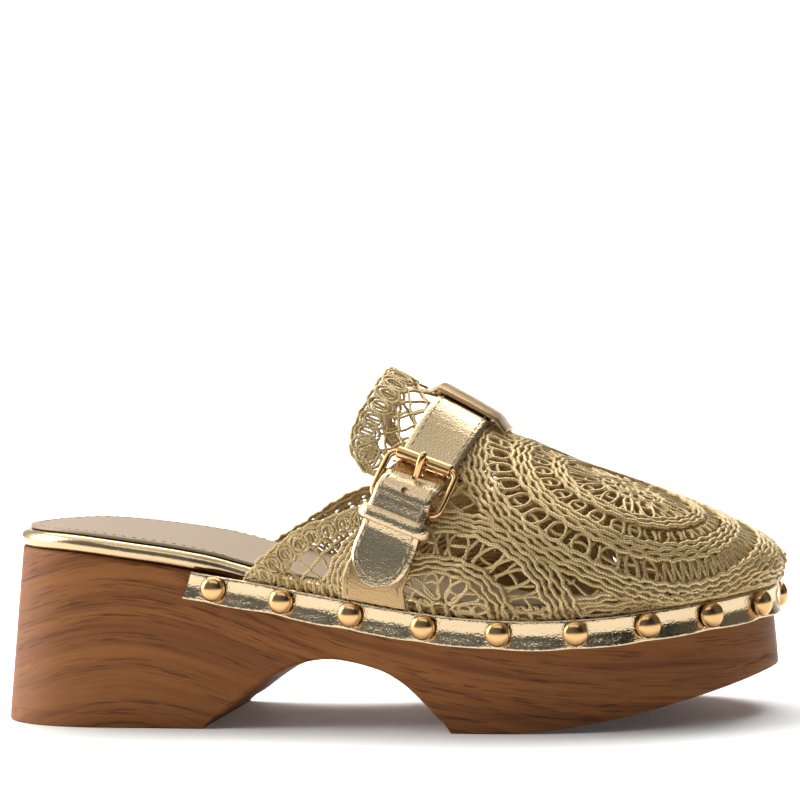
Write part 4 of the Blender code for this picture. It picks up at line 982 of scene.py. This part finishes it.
def lay_quarters(lace):
    """Looped edging along the collar and an open net between it and the other motifs."""
    inward = -left_of(lace.collar)
    for offset in (0.7, 1.8):
        lace.lay("quarters", lace.collar + inward * offset, LOOP_CORD, LOOP_LIFT + 0.1, 0.22, 7.0)
    rows = np.arange(6, len(lace.collar) - 6, round(EDGING_PITCH / LINE_STEP))
    for row in rows:
        spot = lace.collar[row]
        deep = inward[row]
        across = turned(deep)
        depth = EDGING_MEDIAL
        if spot[1] < EDGING_TURN:
            depth = EDGING_DEPTH[int(abs(spot[1]) < TONGUE_HALF)]
        middle = spot + deep * (1.2 + depth / 2)
        for half, wide in ((depth / 2, 3.1), (depth / 2 - 1.3, 1.9)):
            lace.lay("quarters", oval(middle, deep, half, wide), LOOP_CORD, LOOP_LIFT + 0.3, 0.1, 7.0)
        for side in (-0.55, 0.55):
            bar = stroke(middle - deep * (depth / 2 - 1.5) + across * side,
                         middle + deep * (depth / 2 - 1.5) + across * side)
            lace.lay("quarters", bar, THREAD, LOOP_LIFT, 0.08, 5.0)

    def open_ground(chart):
        clear = lace.off_medallion(chart) & lace.off_fans(chart) & lace.off_medial_ring(chart)
        edging = np.where(chart[:, 1] < EDGING_TURN, EDGING_DEPTH[1], EDGING_MEDIAL + 1.0)
        return clear & (lace.from_collar(chart) > edging)

    def tongue(chart):
        return open_ground(chart) & (np.abs(chart[:, 1]) < TONGUE_HALF) & (chart[:, 0] < STRAP_STATION)

    def quarter(chart):
        return open_ground(chart) & ~tongue(chart)

    for where, pitches, angles in ((tongue, (4.8, 8.0), (-60.0, 45.0)), (quarter, (5.4, 2.0), (64.0, -25.0))):
        for angle in angles:
            for mirror, pitch in zip((-1.0, 1.0), pitches):
                along = way(angle) * (1.0, -mirror)

                def one_side(chart):
                    return where(chart) & (chart[:, 1] * mirror > 0.0)

                for offset in np.arange(-NET_REACH, NET_REACH, pitch):
                    middle = np.array([NET_MIDDLE[0], mirror * NET_MIDDLE[1]]) + turned(along) * offset
                    line = stroke(middle - along * NET_STROKE, middle + along * NET_STROKE)
                    lace.lay("quarters", line, THREAD, NET_LIFT, 0.3, 11.0, one_side)


# Tubes on the last

def strap_reach(chart):
    """Chart distance outside the straps and the buckle, negative under them."""
    away = np.abs(chart[:, 0] - STRAP_STATION)
    aside = np.abs(chart[:, 1])
    on_strap = away - STRAP_HALF
    on_loop = np.maximum(away - LOOP_END, aside - LOOP_HALF)
    on_frame = np.where(chart[:, 1] < 0, away - FRAME_HALF - 3.0, np.inf)
    return np.minimum(np.minimum(on_strap, on_loop), on_frame)


def cord_lift(chart, radius, lift):
    """Lift that keeps the cords below the straps and behind the rand, and swells them over the toe's rand."""
    up = LAST.up(chart)
    low = np.minimum(lift, UNDER_TRIM - radius)
    clear = smooth_step((strap_reach(chart) - 1.0) / 3.0) * smooth_step((up - 3.0) / 3.0)
    ahead = smooth_step((chart[:, 0] - TOE_SWELL_START) / TOE_SWELL_RISE)
    swell = TOE_SWELL * ahead * np.exp(-((up - TOE_SWELL_UP) / TOE_SWELL_SPREAD) ** 2)
    return low + (lift - low) * clear + swell * smooth_step((up - 1.6) / 1.6)


def ring_tubes(runs, sides):
    """Vertices, quads, ply coordinates and tints of tubes along runs of points and normals."""
    vertices, faces, plies, tints = [], [], [], []
    base = 0
    turns = 2 * math.pi * np.arange(sides) / sides
    for points, normals, radii, tint in runs:
        along = unit(np.gradient(points, axis=0))
        across = unit(np.cross(along, normals))
        rise = np.cross(across, along)
        round_way = (np.cos(turns)[None, :, None] * across[:, None, :]
                     + np.sin(turns)[None, :, None] * rise[:, None, :])
        count = len(points)
        vertices.append((points[:, None, :] + radii[:, None, None] * round_way).reshape(-1, 3))
        tints.append(np.full(count * sides, tint))
        reach = line_lengths(points) / PLY_PITCH + tint * 7.0
        for ring in range(count - 1):
            for side in range(sides):
                after = (side + 1) % sides
                low = base + ring * sides
                faces.append((low + side, low + sides + side, low + sides + after, low + after))
                plies += [(reach[ring], side / sides), (reach[ring + 1], side / sides),
                          (reach[ring + 1], (side + 1) / sides), (reach[ring], (side + 1) / sides)]
        for ring, around in ((0, list(range(sides))), (count - 1, list(range(sides))[::-1])):
            faces.append(tuple(base + ring * sides + side for side in around))
            plies += [(reach[ring], side / sides) for side in around]
        base += count * sides
    return np.concatenate(vertices), faces, plies, np.concatenate(tints)


def tube_piece(name, runs):
    """Tubes as one piece, with their ply coordinates and tints."""
    vertices, faces, plies, tints = ring_tubes(runs, TUBE_SIDES)
    piece = mesh_piece(name, vertices, faces)
    layer = piece.data.uv_layers.new(name="ply")
    layer.data.foreach_set("uv", np.asarray(plies, np.float32).ravel())
    shade = piece.data.attributes.new("tint", "FLOAT", "POINT")
    shade.data.foreach_set("value", tints.astype(np.float32))
    return piece


def cord_piece(name, cords):
    """Cords laid on the last, tapered at their ends."""
    chart = np.concatenate([line for line, _, _ in cords])
    counts = [len(line) for line, _, _ in cords]
    radius = np.repeat([r for _, r, _ in cords], counts)
    radius = radius * (1.0 + MEDIAL_FULLER * smooth_step((chart[:, 1] - 4.0) / 8.0))
    lift = np.repeat([h for _, _, h in cords], counts)
    points, normals = LAST.frame(chart)
    points = points + normals * cord_lift(chart, radius, lift)[:, None]
    runs = []
    start = 0
    for count in counts:
        part = slice(start, start + count)
        radii = radius[part].copy()
        radii[[0, -1]] *= 0.35
        runs.append((points[part], normals[part], radii, CHANCE.uniform(0.0, 1.0)))
        start += count
    return tube_piece(name, runs)


# Stitches

def surface_tree(piece):
    mesh = piece.data
    return BVHTree.FromPolygons([v.co for v in mesh.vertices], [p.vertices[:] for p in mesh.polygons])


def seat_points(tree, points, normals):
    """Points of a surface below points, looking down their normals; missing ones are left out."""
    seats = []
    for point, normal in zip(points, normals):
        origin = Vector((point + normal * SEAT_REACH + STAND) * MM)
        spot, face, _, _ = tree.ray_cast(origin, Vector(-normal), 2 * SEAT_REACH * MM)
        if spot is not None:
            seats.append((np.array(spot) / MM - STAND, np.array(face)))
    return seats


def stitch_runs(seats, radius=STITCH_RADIUS):
    """Short stitches along seated points, with gaps between them."""
    points = np.array([p for p, _ in seats])
    normals = np.array([n for _, n in seats])
    lengths = line_lengths(points)
    dips = np.array([-0.22, 0.06, 0.14, 0.06, -0.22])
    runs = []
    for start in np.arange(0.6, lengths[-1] - STITCH, STITCH_PITCH):
        at = np.linspace(start, start + STITCH, 5)
        path = read_off(at, lengths, points)
        rise = read_off(at, lengths, normals)
        runs.append((path + rise * dips[:, None], rise, np.full(5, radius), 0.5))
    return runs


def strap_spots(up, share, side, half=STRAP_HALF):
    """Points and normals on the last below a line drawn on a strap of the given half width."""
    station = np.full(len(up), STRAP_STATION)
    points, normals = LAST.frame(chart_up(station, up, side))
    along = LAST.point(chart_up(station, up + 0.5, side)) - LAST.point(chart_up(station, up - 0.5, side))
    across = unit(np.cross(normals, along))
    return points + across * (share * (half - STITCH_INSET))[:, None], normals


def edge_stitches(strap, up, side, half=STRAP_HALF):
    """A row of stitches along each edge of a strap."""
    tree = surface_tree(strap)
    runs = []
    for share in (-1.0, 1.0):
        line = strap_spots(up, np.full(len(up), share), side, half)
        runs += stitch_runs(seat_points(tree, *line))
    return runs


def strap_over_stitches(strap):
    """One row down an edge of the long strap, round its tip and up the other edge, and two medial rows."""
    low = STRAP_TIP + STRAP_HALF
    crown = float(LAST.girth(np.array([[STRAP_STATION, -1.0]]))[0]) - 4.0
    edge = np.arange(crown, low, -SEAT_STEP)
    turns = np.linspace(0.0, math.pi, 24)
    up = np.concatenate([edge, low - (STRAP_HALF - STITCH_INSET) * np.sin(turns), edge[::-1]])
    share = np.concatenate([np.ones(len(edge)), np.cos(turns), -np.ones(len(edge))])
    half = np.interp(up, (KEEPER_CENTRE, ROLLER_BAR), (STRAP_TIP_HALF, STRAP_HALF))
    line = strap_spots(up, share, -1.0, half)
    medial = np.arange(STRAP_END + 2.0, crown, SEAT_STEP)
    return stitch_runs(seat_points(surface_tree(strap), *line)) + edge_stitches(strap, medial, 1.0)


def sock_stitches(sock):
    """Row of stitches inside the sock's edge, round the heel from quarter to quarter."""
    end = PLAN_EDGE.lengths[-1]
    first = float(PLAN_EDGE.length_at_x(SOCK_STITCH_END, True)) - end
    last = float(PLAN_EDGE.length_at_x(SOCK_STITCH_END, False))
    lengths = np.mod(np.arange(first, last, SEAT_STEP), end)
    plan = PLAN_EDGE.at(lengths) - PLAN_EDGE.normal(lengths) * SOCK_STITCH_INSET
    points = np.column_stack([plan, wood_top(plan[:, 0]) + 6.0])
    ups = np.tile((0.0, 0.0, 1.0), (len(points), 1))
    return stitch_runs(seat_points(surface_tree(sock), points, ups), SOCK_STITCH_RADIUS)


# Pieces

def rounded_copy(node, name, swell):
    """Copy of a wire solid subdivided to a round section, swelled back to its size."""
    piece = joined_copy(node, name)
    smooth = piece.modifiers.new("round", "SUBSURF")
    smooth.levels = 2
    apply_modifiers(piece)
    edit_all(piece)
    bpy.ops.transform.shrink_fatten(value=swell * MM)
    bpy.ops.object.mode_set(mode="OBJECT")
    bpy.ops.object.shade_smooth()
    return piece


def bow_strap(strap):
    """Let the long strap belly out between the roller and the heel bar."""
    fine = strap.modifiers.new("rows", "SUBSURF")
    fine.subdivision_type = "SIMPLE"
    fine.levels = 2
    apply_modifiers(strap)
    up = np.linspace(HEEL_BAR, ROLLER_BAR, 160)
    points, normals = strap_spots(up, np.zeros(len(up)), -1.0)
    along = unit(np.gradient(points, axis=0))
    top = ROLLER_BAR - 1.0
    part = np.clip((top - up) / (top - HEEL_BAR), 0.0, 1.0)
    rise = table_curve(part, BELLY_SHARE, BELLY_RISE) - HUMP * smooth_step((top - up) / CLIMB)
    for vertex in strap.data.vertices:
        place = np.array(vertex.co) / MM - STAND
        if np.linalg.norm(points - place, axis=1).min() < BELLY_ROOM:
            row = int(np.argmin(np.abs(((place - points) * along).sum(axis=1))))
            vertex.co = Vector((place + normals[row] * rise[row] + STAND) * MM)
    take_up(strap)
    bpy.ops.mesh.customdata_custom_splitnormals_clear()
    bpy.ops.object.shade_smooth_by_angle(angle=math.radians(40))


def make_keeper(strap, finish):
    """Cushioned band bent over the strap and down past its edges."""
    reach = np.linspace(-1.0, 1.0, 21) * (STRAP_TIP_HALF - 0.3) / (STRAP_TIP_HALF - STITCH_INSET)
    line = strap_spots(np.full(21, KEEPER_CENTRE), reach, -1.0, STRAP_TIP_HALF)
    crown = np.array([spot for spot, _ in seat_points(surface_tree(strap), *line)])
    up = line[1][10]
    aside = unit(crown[-1] - crown[0])
    along = np.cross(aside, up)
    drops = ((1.3, -2.6), (1.3, -1.2), (0.8, -0.3))
    left = [crown[0] - aside * out + up * down for out, down in drops]
    right = [crown[-1] + aside * out + up * down for out, down in reversed(drops)]
    path = np.array(left + list(crown) + right)
    corner = 0.7 * (up - aside)
    ways = [-aside, -aside, corner] + [up] * len(crown) + [corner + 1.4 * aside, aside, aside]
    turns = np.linspace(-math.pi / 2, math.pi / 2, 15)
    off = KEEPER_HALF * np.sin(turns)
    cushion = 0.1 + KEEPER_CUSHION * np.cos(turns) ** 0.8
    rings = (path[:, None, :] + np.array(ways)[:, None, :] * cushion[None, :, None]
             + along[None, None, :] * off[None, :, None])
    seat_piece(lofted_piece("strap_keeper_leather", rings, 60.0), finish, "gold_leather", "strap_keeper")


def punch_hole(strap):
    """Free buckle hole below the one in use."""
    up = np.array([FREE_HOLE])
    points, normals = strap_spots(up, np.zeros(1), -1.0)
    deselect()
    bpy.ops.mesh.primitive_cylinder_add(vertices=24, radius=HOLE_RADIUS * MM, depth=20.0 * MM)
    punch = bpy.context.object
    stand_on(punch, points[0], normals[0])
    cut = strap.modifiers.new("hole", "BOOLEAN")
    cut.operation = "DIFFERENCE"
    cut.solver = "EXACT"
    cut.object = punch
    apply_modifiers(strap)
    bpy.data.objects.remove(punch, do_unlink=True)


def make_stud(number, length, finish):
    """Domed nail head with a low rim."""
    centre = PLAN_EDGE.at(length)
    out = np.append(PLAN_EDGE.normal(length), 0.0)
    seat = np.array([*centre, float(rand_top(centre[0])) - STUD_DOWN]) + out * (GAP + RAND_THICK + GAP)
    deselect()
    bpy.ops.mesh.primitive_uv_sphere_add(segments=36, ring_count=20, radius=STUD_RADIUS * MM)
    stud = bpy.context.object
    stud.name = f"stud_{number:02d}_dome"
    select_only(stud, lambda place: place.z < -0.1 * MM)
    bpy.ops.mesh.delete(type="VERT")
    bpy.ops.mesh.select_all(action="SELECT")
    bpy.ops.transform.resize(value=(1.0, 1.0, (STUD_HEIGHT - STUD_RIM) / STUD_RADIUS))
    bpy.ops.transform.translate(value=(0.0, 0.0, STUD_RIM * MM))
    bpy.ops.mesh.select_all(action="DESELECT")
    bpy.ops.mesh.select_non_manifold()
    bpy.ops.mesh.extrude_region_move(TRANSFORM_OT_translate={"value": (0.0, 0.0, -STUD_RIM * MM)})
    bpy.ops.mesh.edge_face_add()
    bpy.ops.object.mode_set(mode="OBJECT")
    stand_on(stud, seat, out)
    take_up(stud)
    bpy.ops.object.transform_apply(location=True, rotation=True, scale=True)
    bpy.ops.object.shade_smooth_by_angle(angle=math.radians(40))
    seat_piece(stud, finish, "polished_gold", f"stud_{number:02d}")


def stud_lengths():
    """Plan lengths of the studs' centres."""
    seen = float(PLAN_EDGE.length_at_x(RAND_TOP_END, False)) + np.array(STUDS_READ)
    end = float(PLAN_EDGE.length_at_x(RAND_TOP_END, True)) - STUD_END_MARGIN
    return np.concatenate([seen, np.linspace(seen[-1], end, STUDS_MEDIAL + 1)[1:]])


def wood_lean(x, depth):
    """How far ahead of its top edge the block's side stands, a depth below that edge."""
    back = PLAN_EDGE.points[0, 0]
    away = np.clip((FLARE_END - x) / (FLARE_END - back), 0.0, 1.0)
    ahead = smooth_step((x - TOE_FLARE_START) / (PLAN_EDGE.front - TOE_FLARE_START))
    return (TOE_FLARE * ahead - HEEL_FLARE * away) * depth / wood_top(x)


def make_rand_band(finish):
    """Soft band nailed down at its middle: hollow between its edges, flared out between the studs."""
    face = (0.06, 0.14, 0.24, 0.34, 0.45, 0.54, 0.62, 0.7, 0.78, 0.85, 0.91, 0.955)
    section = [(0.0, RAND_THICK), (0.0, 0.5), (0.02, 0.15)] + [(share, 0.0) for share in face]
    section += [(0.99, 0.08), (1.0, 0.3), (1.0, RAND_THICK)]
    share = np.array([s for s, _ in section])[None, :]
    inset = np.array([i for _, i in section])[None, :]
    ends = [[float(PLAN_EDGE.length_at_x(x, medial)) for medial in (False, True)]
            for x in (RAND_TOP_END, RAND_LOW_END)]
    count = 460
    high, low = (np.linspace(first, last, count) for first, last in ends)
    top = PLAN_EDGE.at(high)
    foot = PLAN_EDGE.at(low)
    z_top = rand_top(top[:, 0])
    z_low = rand_top(foot[:, 0]) - RAND_HEIGHT
    foot[:, 0] += wood_lean(foot[:, 0], np.maximum(wood_top(foot[:, 0]) - z_low, 0.0))
    to_stud = np.abs(high[:, None] - stud_lengths()[None, :]).min(axis=1)
    nailed = np.exp(-(to_stud / NAIL_SPREAD) ** 2)[:, None]
    sag = 0.12 * np.sin(high / 7.3) * np.sin(high / 17.9 + 1.0) - 0.12 * (1 - nailed[:, 0])
    ripple = 0.13 * np.sin(high / 2.9) * np.sin(high / 7.7 + 0.6)
    out = GAP + RAND_THICK - inset
    out = out + RAND_HOLLOW * (1 - 0.8 * nailed) * (1 - smooth_step(share / 0.5))
    out = out + RAND_FLARE * (1 - 0.9 * nailed) * smooth_step((share - 0.45) / 0.55) ** 1.3
    out = out + (ripple[:, None] * (1 - nailed)) * smooth_step((share - 0.3) / 0.5)
    plan = top[:, None, :] + (foot - top)[:, None, :] * share[..., None]
    plan = plan + PLAN_EDGE.normal(high)[:, None, :] * out[..., None]
    height = z_top[:, None] + (z_low + sag - z_top)[:, None] * share
    rings = np.concatenate([plan, height[..., None]], axis=2)
    seat_piece(lofted_piece("rand_band", rings, 50.0), finish, "gold_leather", "rand")


def last_x(place):
    return place.x / MM - STAND[0]


def tread_top(place):
    """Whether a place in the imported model's frame is in the upper half of a wearing layer."""
    ahead = (last_x(place) - SPRING_START) / (PLAN_EDGE.front - SPRING_START)
    return place.z / MM - SPRING_TIP * max(ahead, 0.0) ** SPRING_POWER > 0.5 * TREAD


def make_bead(finish):
    """Footbed with its edge rolled full round, closed down on the block."""
    count = 360
    lengths = np.linspace(0.0, PLAN_EDGE.lengths[-1], count, endpoint=False)
    edge = PLAN_EDGE.at(lengths)
    inward = -PLAN_EDGE.normal(lengths)
    hidden = smooth_step((edge[:, 0] - BEAD_END[0]) / (BEAD_END[1] - BEAD_END[0]))
    inset = -BEAD_OVERHANG + (COVERED_INSET + BEAD_OVERHANG) * hidden
    turns = np.linspace(-math.pi / 2, math.pi / 2, 17)
    half = FOOTBED / 2
    rings = []
    for turn in turns:
        plan = edge + inward * (inset + half * (1 - math.cos(turn)))[:, None]
        low = GAP * (0.5 - 0.5 * math.sin(turn))
        height = wood_top(plan[:, 0]) + GAP - low + half * (1 + math.sin(turn))
        rings.append(np.column_stack([plan, height]))
    seat_piece(lofted_piece("footbed_bead", np.array(rings), 60.0), finish, "gold_leather", "footbed")


def in_arch(place):
    """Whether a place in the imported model's frame is on the block's arch."""
    return (WAIST_SPAN[0] < last_x(place) < WAIST_SPAN[1]
            and WAIST_LEVELS[0] < place.z / MM < WAIST_LEVELS[1])


def make_block():
    """Block with its arch rounded between its facets, and the wearing layers closed up to it."""
    wood = printed_wood()
    block = eased_copy("sole", "wood_block", 0.35, 3, False)
    select_only(block, in_arch)
    bpy.ops.mesh.subdivide(number_cuts=2, smoothness=1.0)
    bpy.ops.object.mode_set(mode="OBJECT")
    weigh_normals(block)
    seat_piece(block, wood, "wood_look_block", "sole")
    for node, name in (("heel_lift", "heel_lift_face"), ("forefoot_tread", "forefoot_tread_face")):
        piece = joined_copy(node, name)
        select_only(piece, tread_top)
        bpy.ops.transform.translate(value=(0.0, 0.0, TREAD_RAISE * MM))
        bpy.ops.object.mode_set(mode="OBJECT")
        for vertex in piece.data.vertices:
            ahead = (last_x(vertex.co) - TOE_FLARE_START) / (TOE_TIP[0] - TOE_FLARE_START)
            vertex.co.x -= TREAD_TUCK * MM * float(smooth_step(ahead))
        bpy.ops.object.shade_smooth_by_angle(angle=math.radians(30))
        seat_piece(piece, wood, "tan_rubber", node)


def make_leather():
    """Leather and its seams: a darker copy with painted shade on the strap's base and the instep loop,
    crinkled on the band, smooth on the bead, matt inside.
    """
    leather = gold_leather("gold_foiled_leather", "d4bd99", 0.25, 1.0, 0.45, 0.7)
    # Painted shade: a darker copy of the gold leather for the strap's base and the instep loop, standing in
    # for the shade and dim reflections on them
    painted_shade_leather = gold_leather("gold_foiled_painted_shade", "bd9c70", 0.32, 1.0, 0.45, 0.4)
    band = gold_leather("gold_foiled_band", "d4bd99", 0.2, 1.0, 0.45, 1.3)
    bead = gold_leather("gold_foiled_bead", "cdb48d", 0.2, 1.0, 0.12, 0.25)
    lining = gold_leather("gold_sock_leather", "97826a", 0.5, 0.35, 0.2, 0.4)
    thread = new_material("gold_sewing_thread", SEWING_THREAD)[0]
    make_bead(bead)
    sock = seat_piece(eased_copy("sock", "sock_lining", 0.3, 2), lining, "sock_leather", "sock")
    seat_piece(tube_piece("sock_stitches", sock_stitches(sock)), thread, "sock_leather")
    make_rand_band(band)
    base = eased_copy("strap_base", "strap_base_leather", 0.3, 2)
    seat_piece(base, painted_shade_leather, "gold_leather", "strap_base")
    strap = eased_copy("strap_over", "strap_over_leather", 0.4, 3)
    bow_strap(strap)
    punch_hole(strap)
    seat_piece(strap, leather, "gold_leather", "strap_over")
    make_keeper(strap, leather)
    loop = eased_copy("instep_loop", "instep_loop_leather", 0.58, 5, False)
    seat_piece(loop, painted_shade_leather, "gold_leather", "instep_loop")
    foot = np.arange(STRAP_END + 2.0, STRAP_TIP + 4.0, SEAT_STEP)
    runs = strap_over_stitches(strap) + edge_stitches(base, foot, -1.0, STRAP_FOOT_HALF)
    seat_piece(tube_piece("strap_stitches", runs), thread, "gold_leather")


def make_metal():
    gold = new_material("polished_gold_plate", PLATE)[0]
    for node, swell in (("buckle_frame", 0.08), ("buckle_prong", 0.25)):
        seat_piece(rounded_copy(node, node + "_wire", swell), gold, "polished_gold", node)
    seat_piece(eased_copy("buckle_roller", "buckle_roller_tube", 0.2, 2), gold, "polished_gold",
               "buckle_roller")
    for number, length in enumerate(stud_lengths(), start=1):
        make_stud(number, length, gold)


def make_lace():
    cord = two_ply_cord()
    lace = Lace()
    lay_medallion(lace)
    lay_fans(lace)
    lay_columns(lace)
    lay_toe_edge(lace)
    lay_quarters(lace)
    for group, cords in lace.cords.items():
        piece = cord_piece("lace_" + group, cords)
        seat_piece(piece, cord, "gold_lace", *(["upper"] if group == "vamp" else []))


# Studio

def make_floor():
    """Paper sweep: a floor that curves up into a back wall."""
    deselect()
    bpy.ops.mesh.primitive_plane_add(size=SWEEP_SIZE, location=(0.0, SWEEP_SHIFT, 0.0))
    sweep = bpy.context.object
    sweep.name = "studio_sweep"
    bpy.ops.object.transform_apply(location=True)
    select_only(sweep, lambda place: place.y > SWEEP_SHIFT)
    bpy.ops.mesh.extrude_edges_move(TRANSFORM_OT_translate={"value": (0.0, 0.0, WALL_HEIGHT)})
    bpy.ops.object.mode_set(mode="OBJECT")
    bend = sweep.modifiers.new("cove", "BEVEL")
    bend.width = COVE
    bend.segments = 12
    bend.limit_method = "ANGLE"
    apply_modifiers(sweep)
    bpy.ops.object.shade_smooth()
    sweep.data.materials.append(new_material("studio_paper", PAPER)[0])


def add_softbox(name, place, aim, width, height, watts):
    lamp = bpy.data.lights.new(name, "AREA")
    lamp.shape = "RECTANGLE"
    lamp.size = width
    lamp.size_y = height
    lamp.energy = watts
    box = new_object(name, lamp)
    box.location = place
    box.rotation_euler = (Vector(aim) - Vector(place)).to_track_quat("-Z", "Y").to_euler()
    return box


def make_light():
    """Softboxes, the top one kept out of the gloss, a card seen in the gloss only, and a dim room."""
    top = add_softbox("top_softbox", (-0.15, 0.5, 1.25), (-0.05, 0.05, 0.0), 1.7, 0.7, 17.0)
    top.visible_glossy = False
    add_softbox("sheen_softbox", (-0.15, 0.88, 1.25), (-0.05, 0.05, 0.0), 1.7, 0.7, 14.0)
    card = add_softbox("front_card", (0.0, -0.72, 1.0), (0.0, 0.0, 0.07), 1.2, 0.4, 1.9)
    card.visible_diffuse = False
    add_softbox("left_softbox", (-1.65, 0.0, 0.75), (0.0, 0.0, 0.05), 1.3, 1.3, 24.0)
    add_softbox("backdrop_light", (-0.5, 1.6, 1.5), (-0.6, 3.1, 0.1), 2.5, 0.5, 55.0)
    world = bpy.data.worlds.new("studio_world")
    world.use_nodes = True
    tree = world.node_tree
    coordinates = add_node(tree, "ShaderNodeTexCoord").outputs["Generated"]
    parts = add_node(tree, "ShaderNodeSeparateXYZ", {"Vector": coordinates})
    behind = add_node(tree, "ShaderNodeMapRange", {"Value": parts.outputs["Y"], "From Min": -0.5,
                                                   "From Max": 0.7})
    aside = add_node(tree, "ShaderNodeMapRange", {"Value": parts.outputs["X"], "From Min": -0.3,
                                                  "From Max": 0.6, "To Min": 1.05, "To Max": 0.12})
    overhead = (1.3, 1.28, 1.2, 1.0)
    room = add_node(tree, "ShaderNodeValToRGB", {"Fac": behind.outputs["Result"]},
                    ((0.0, (0.16, 0.185, 0.21, 1.0)), (0.28, overhead), (0.75, overhead),
                     (1.0, (0.45, 0.45, 0.43, 1.0))))
    tree.links.new(room.outputs["Color"], tree.nodes["Background"].inputs["Color"])
    tree.links.new(aside.outputs["Result"], tree.nodes["Background"].inputs["Strength"])
    bpy.context.scene.world = world


def make_camera():
    """The photograph's viewpoint."""
    place = np.array(CAMERA_PLACE)
    forward = unit(np.array(CAMERA_AIM) - place)
    right = unit(np.cross(forward, (0.0, 0.0, 1.0)))
    up = np.cross(right, forward)
    rolled_right = right * math.cos(CAMERA_ROLL) + up * math.sin(CAMERA_ROLL)
    rolled_up = up * math.cos(CAMERA_ROLL) - right * math.sin(CAMERA_ROLL)
    camera = bpy.data.cameras.new("photo_camera")
    camera.sensor_width = 36.0
    camera.lens = CAMERA_LENS
    camera.clip_start = 0.05
    view = new_object("photo_camera", camera)
    turn = Matrix((rolled_right, rolled_up, -forward)).transposed().to_4x4()
    view.matrix_world = Matrix.Translation(Vector((place + STAND) * MM)) @ turn
    bpy.context.scene.camera = view


deselect()
make_block()
make_leather()
make_metal()
make_lace()
make_floor()
make_light()
make_camera()
bpy.context.scene.view_settings.view_transform = "Standard"
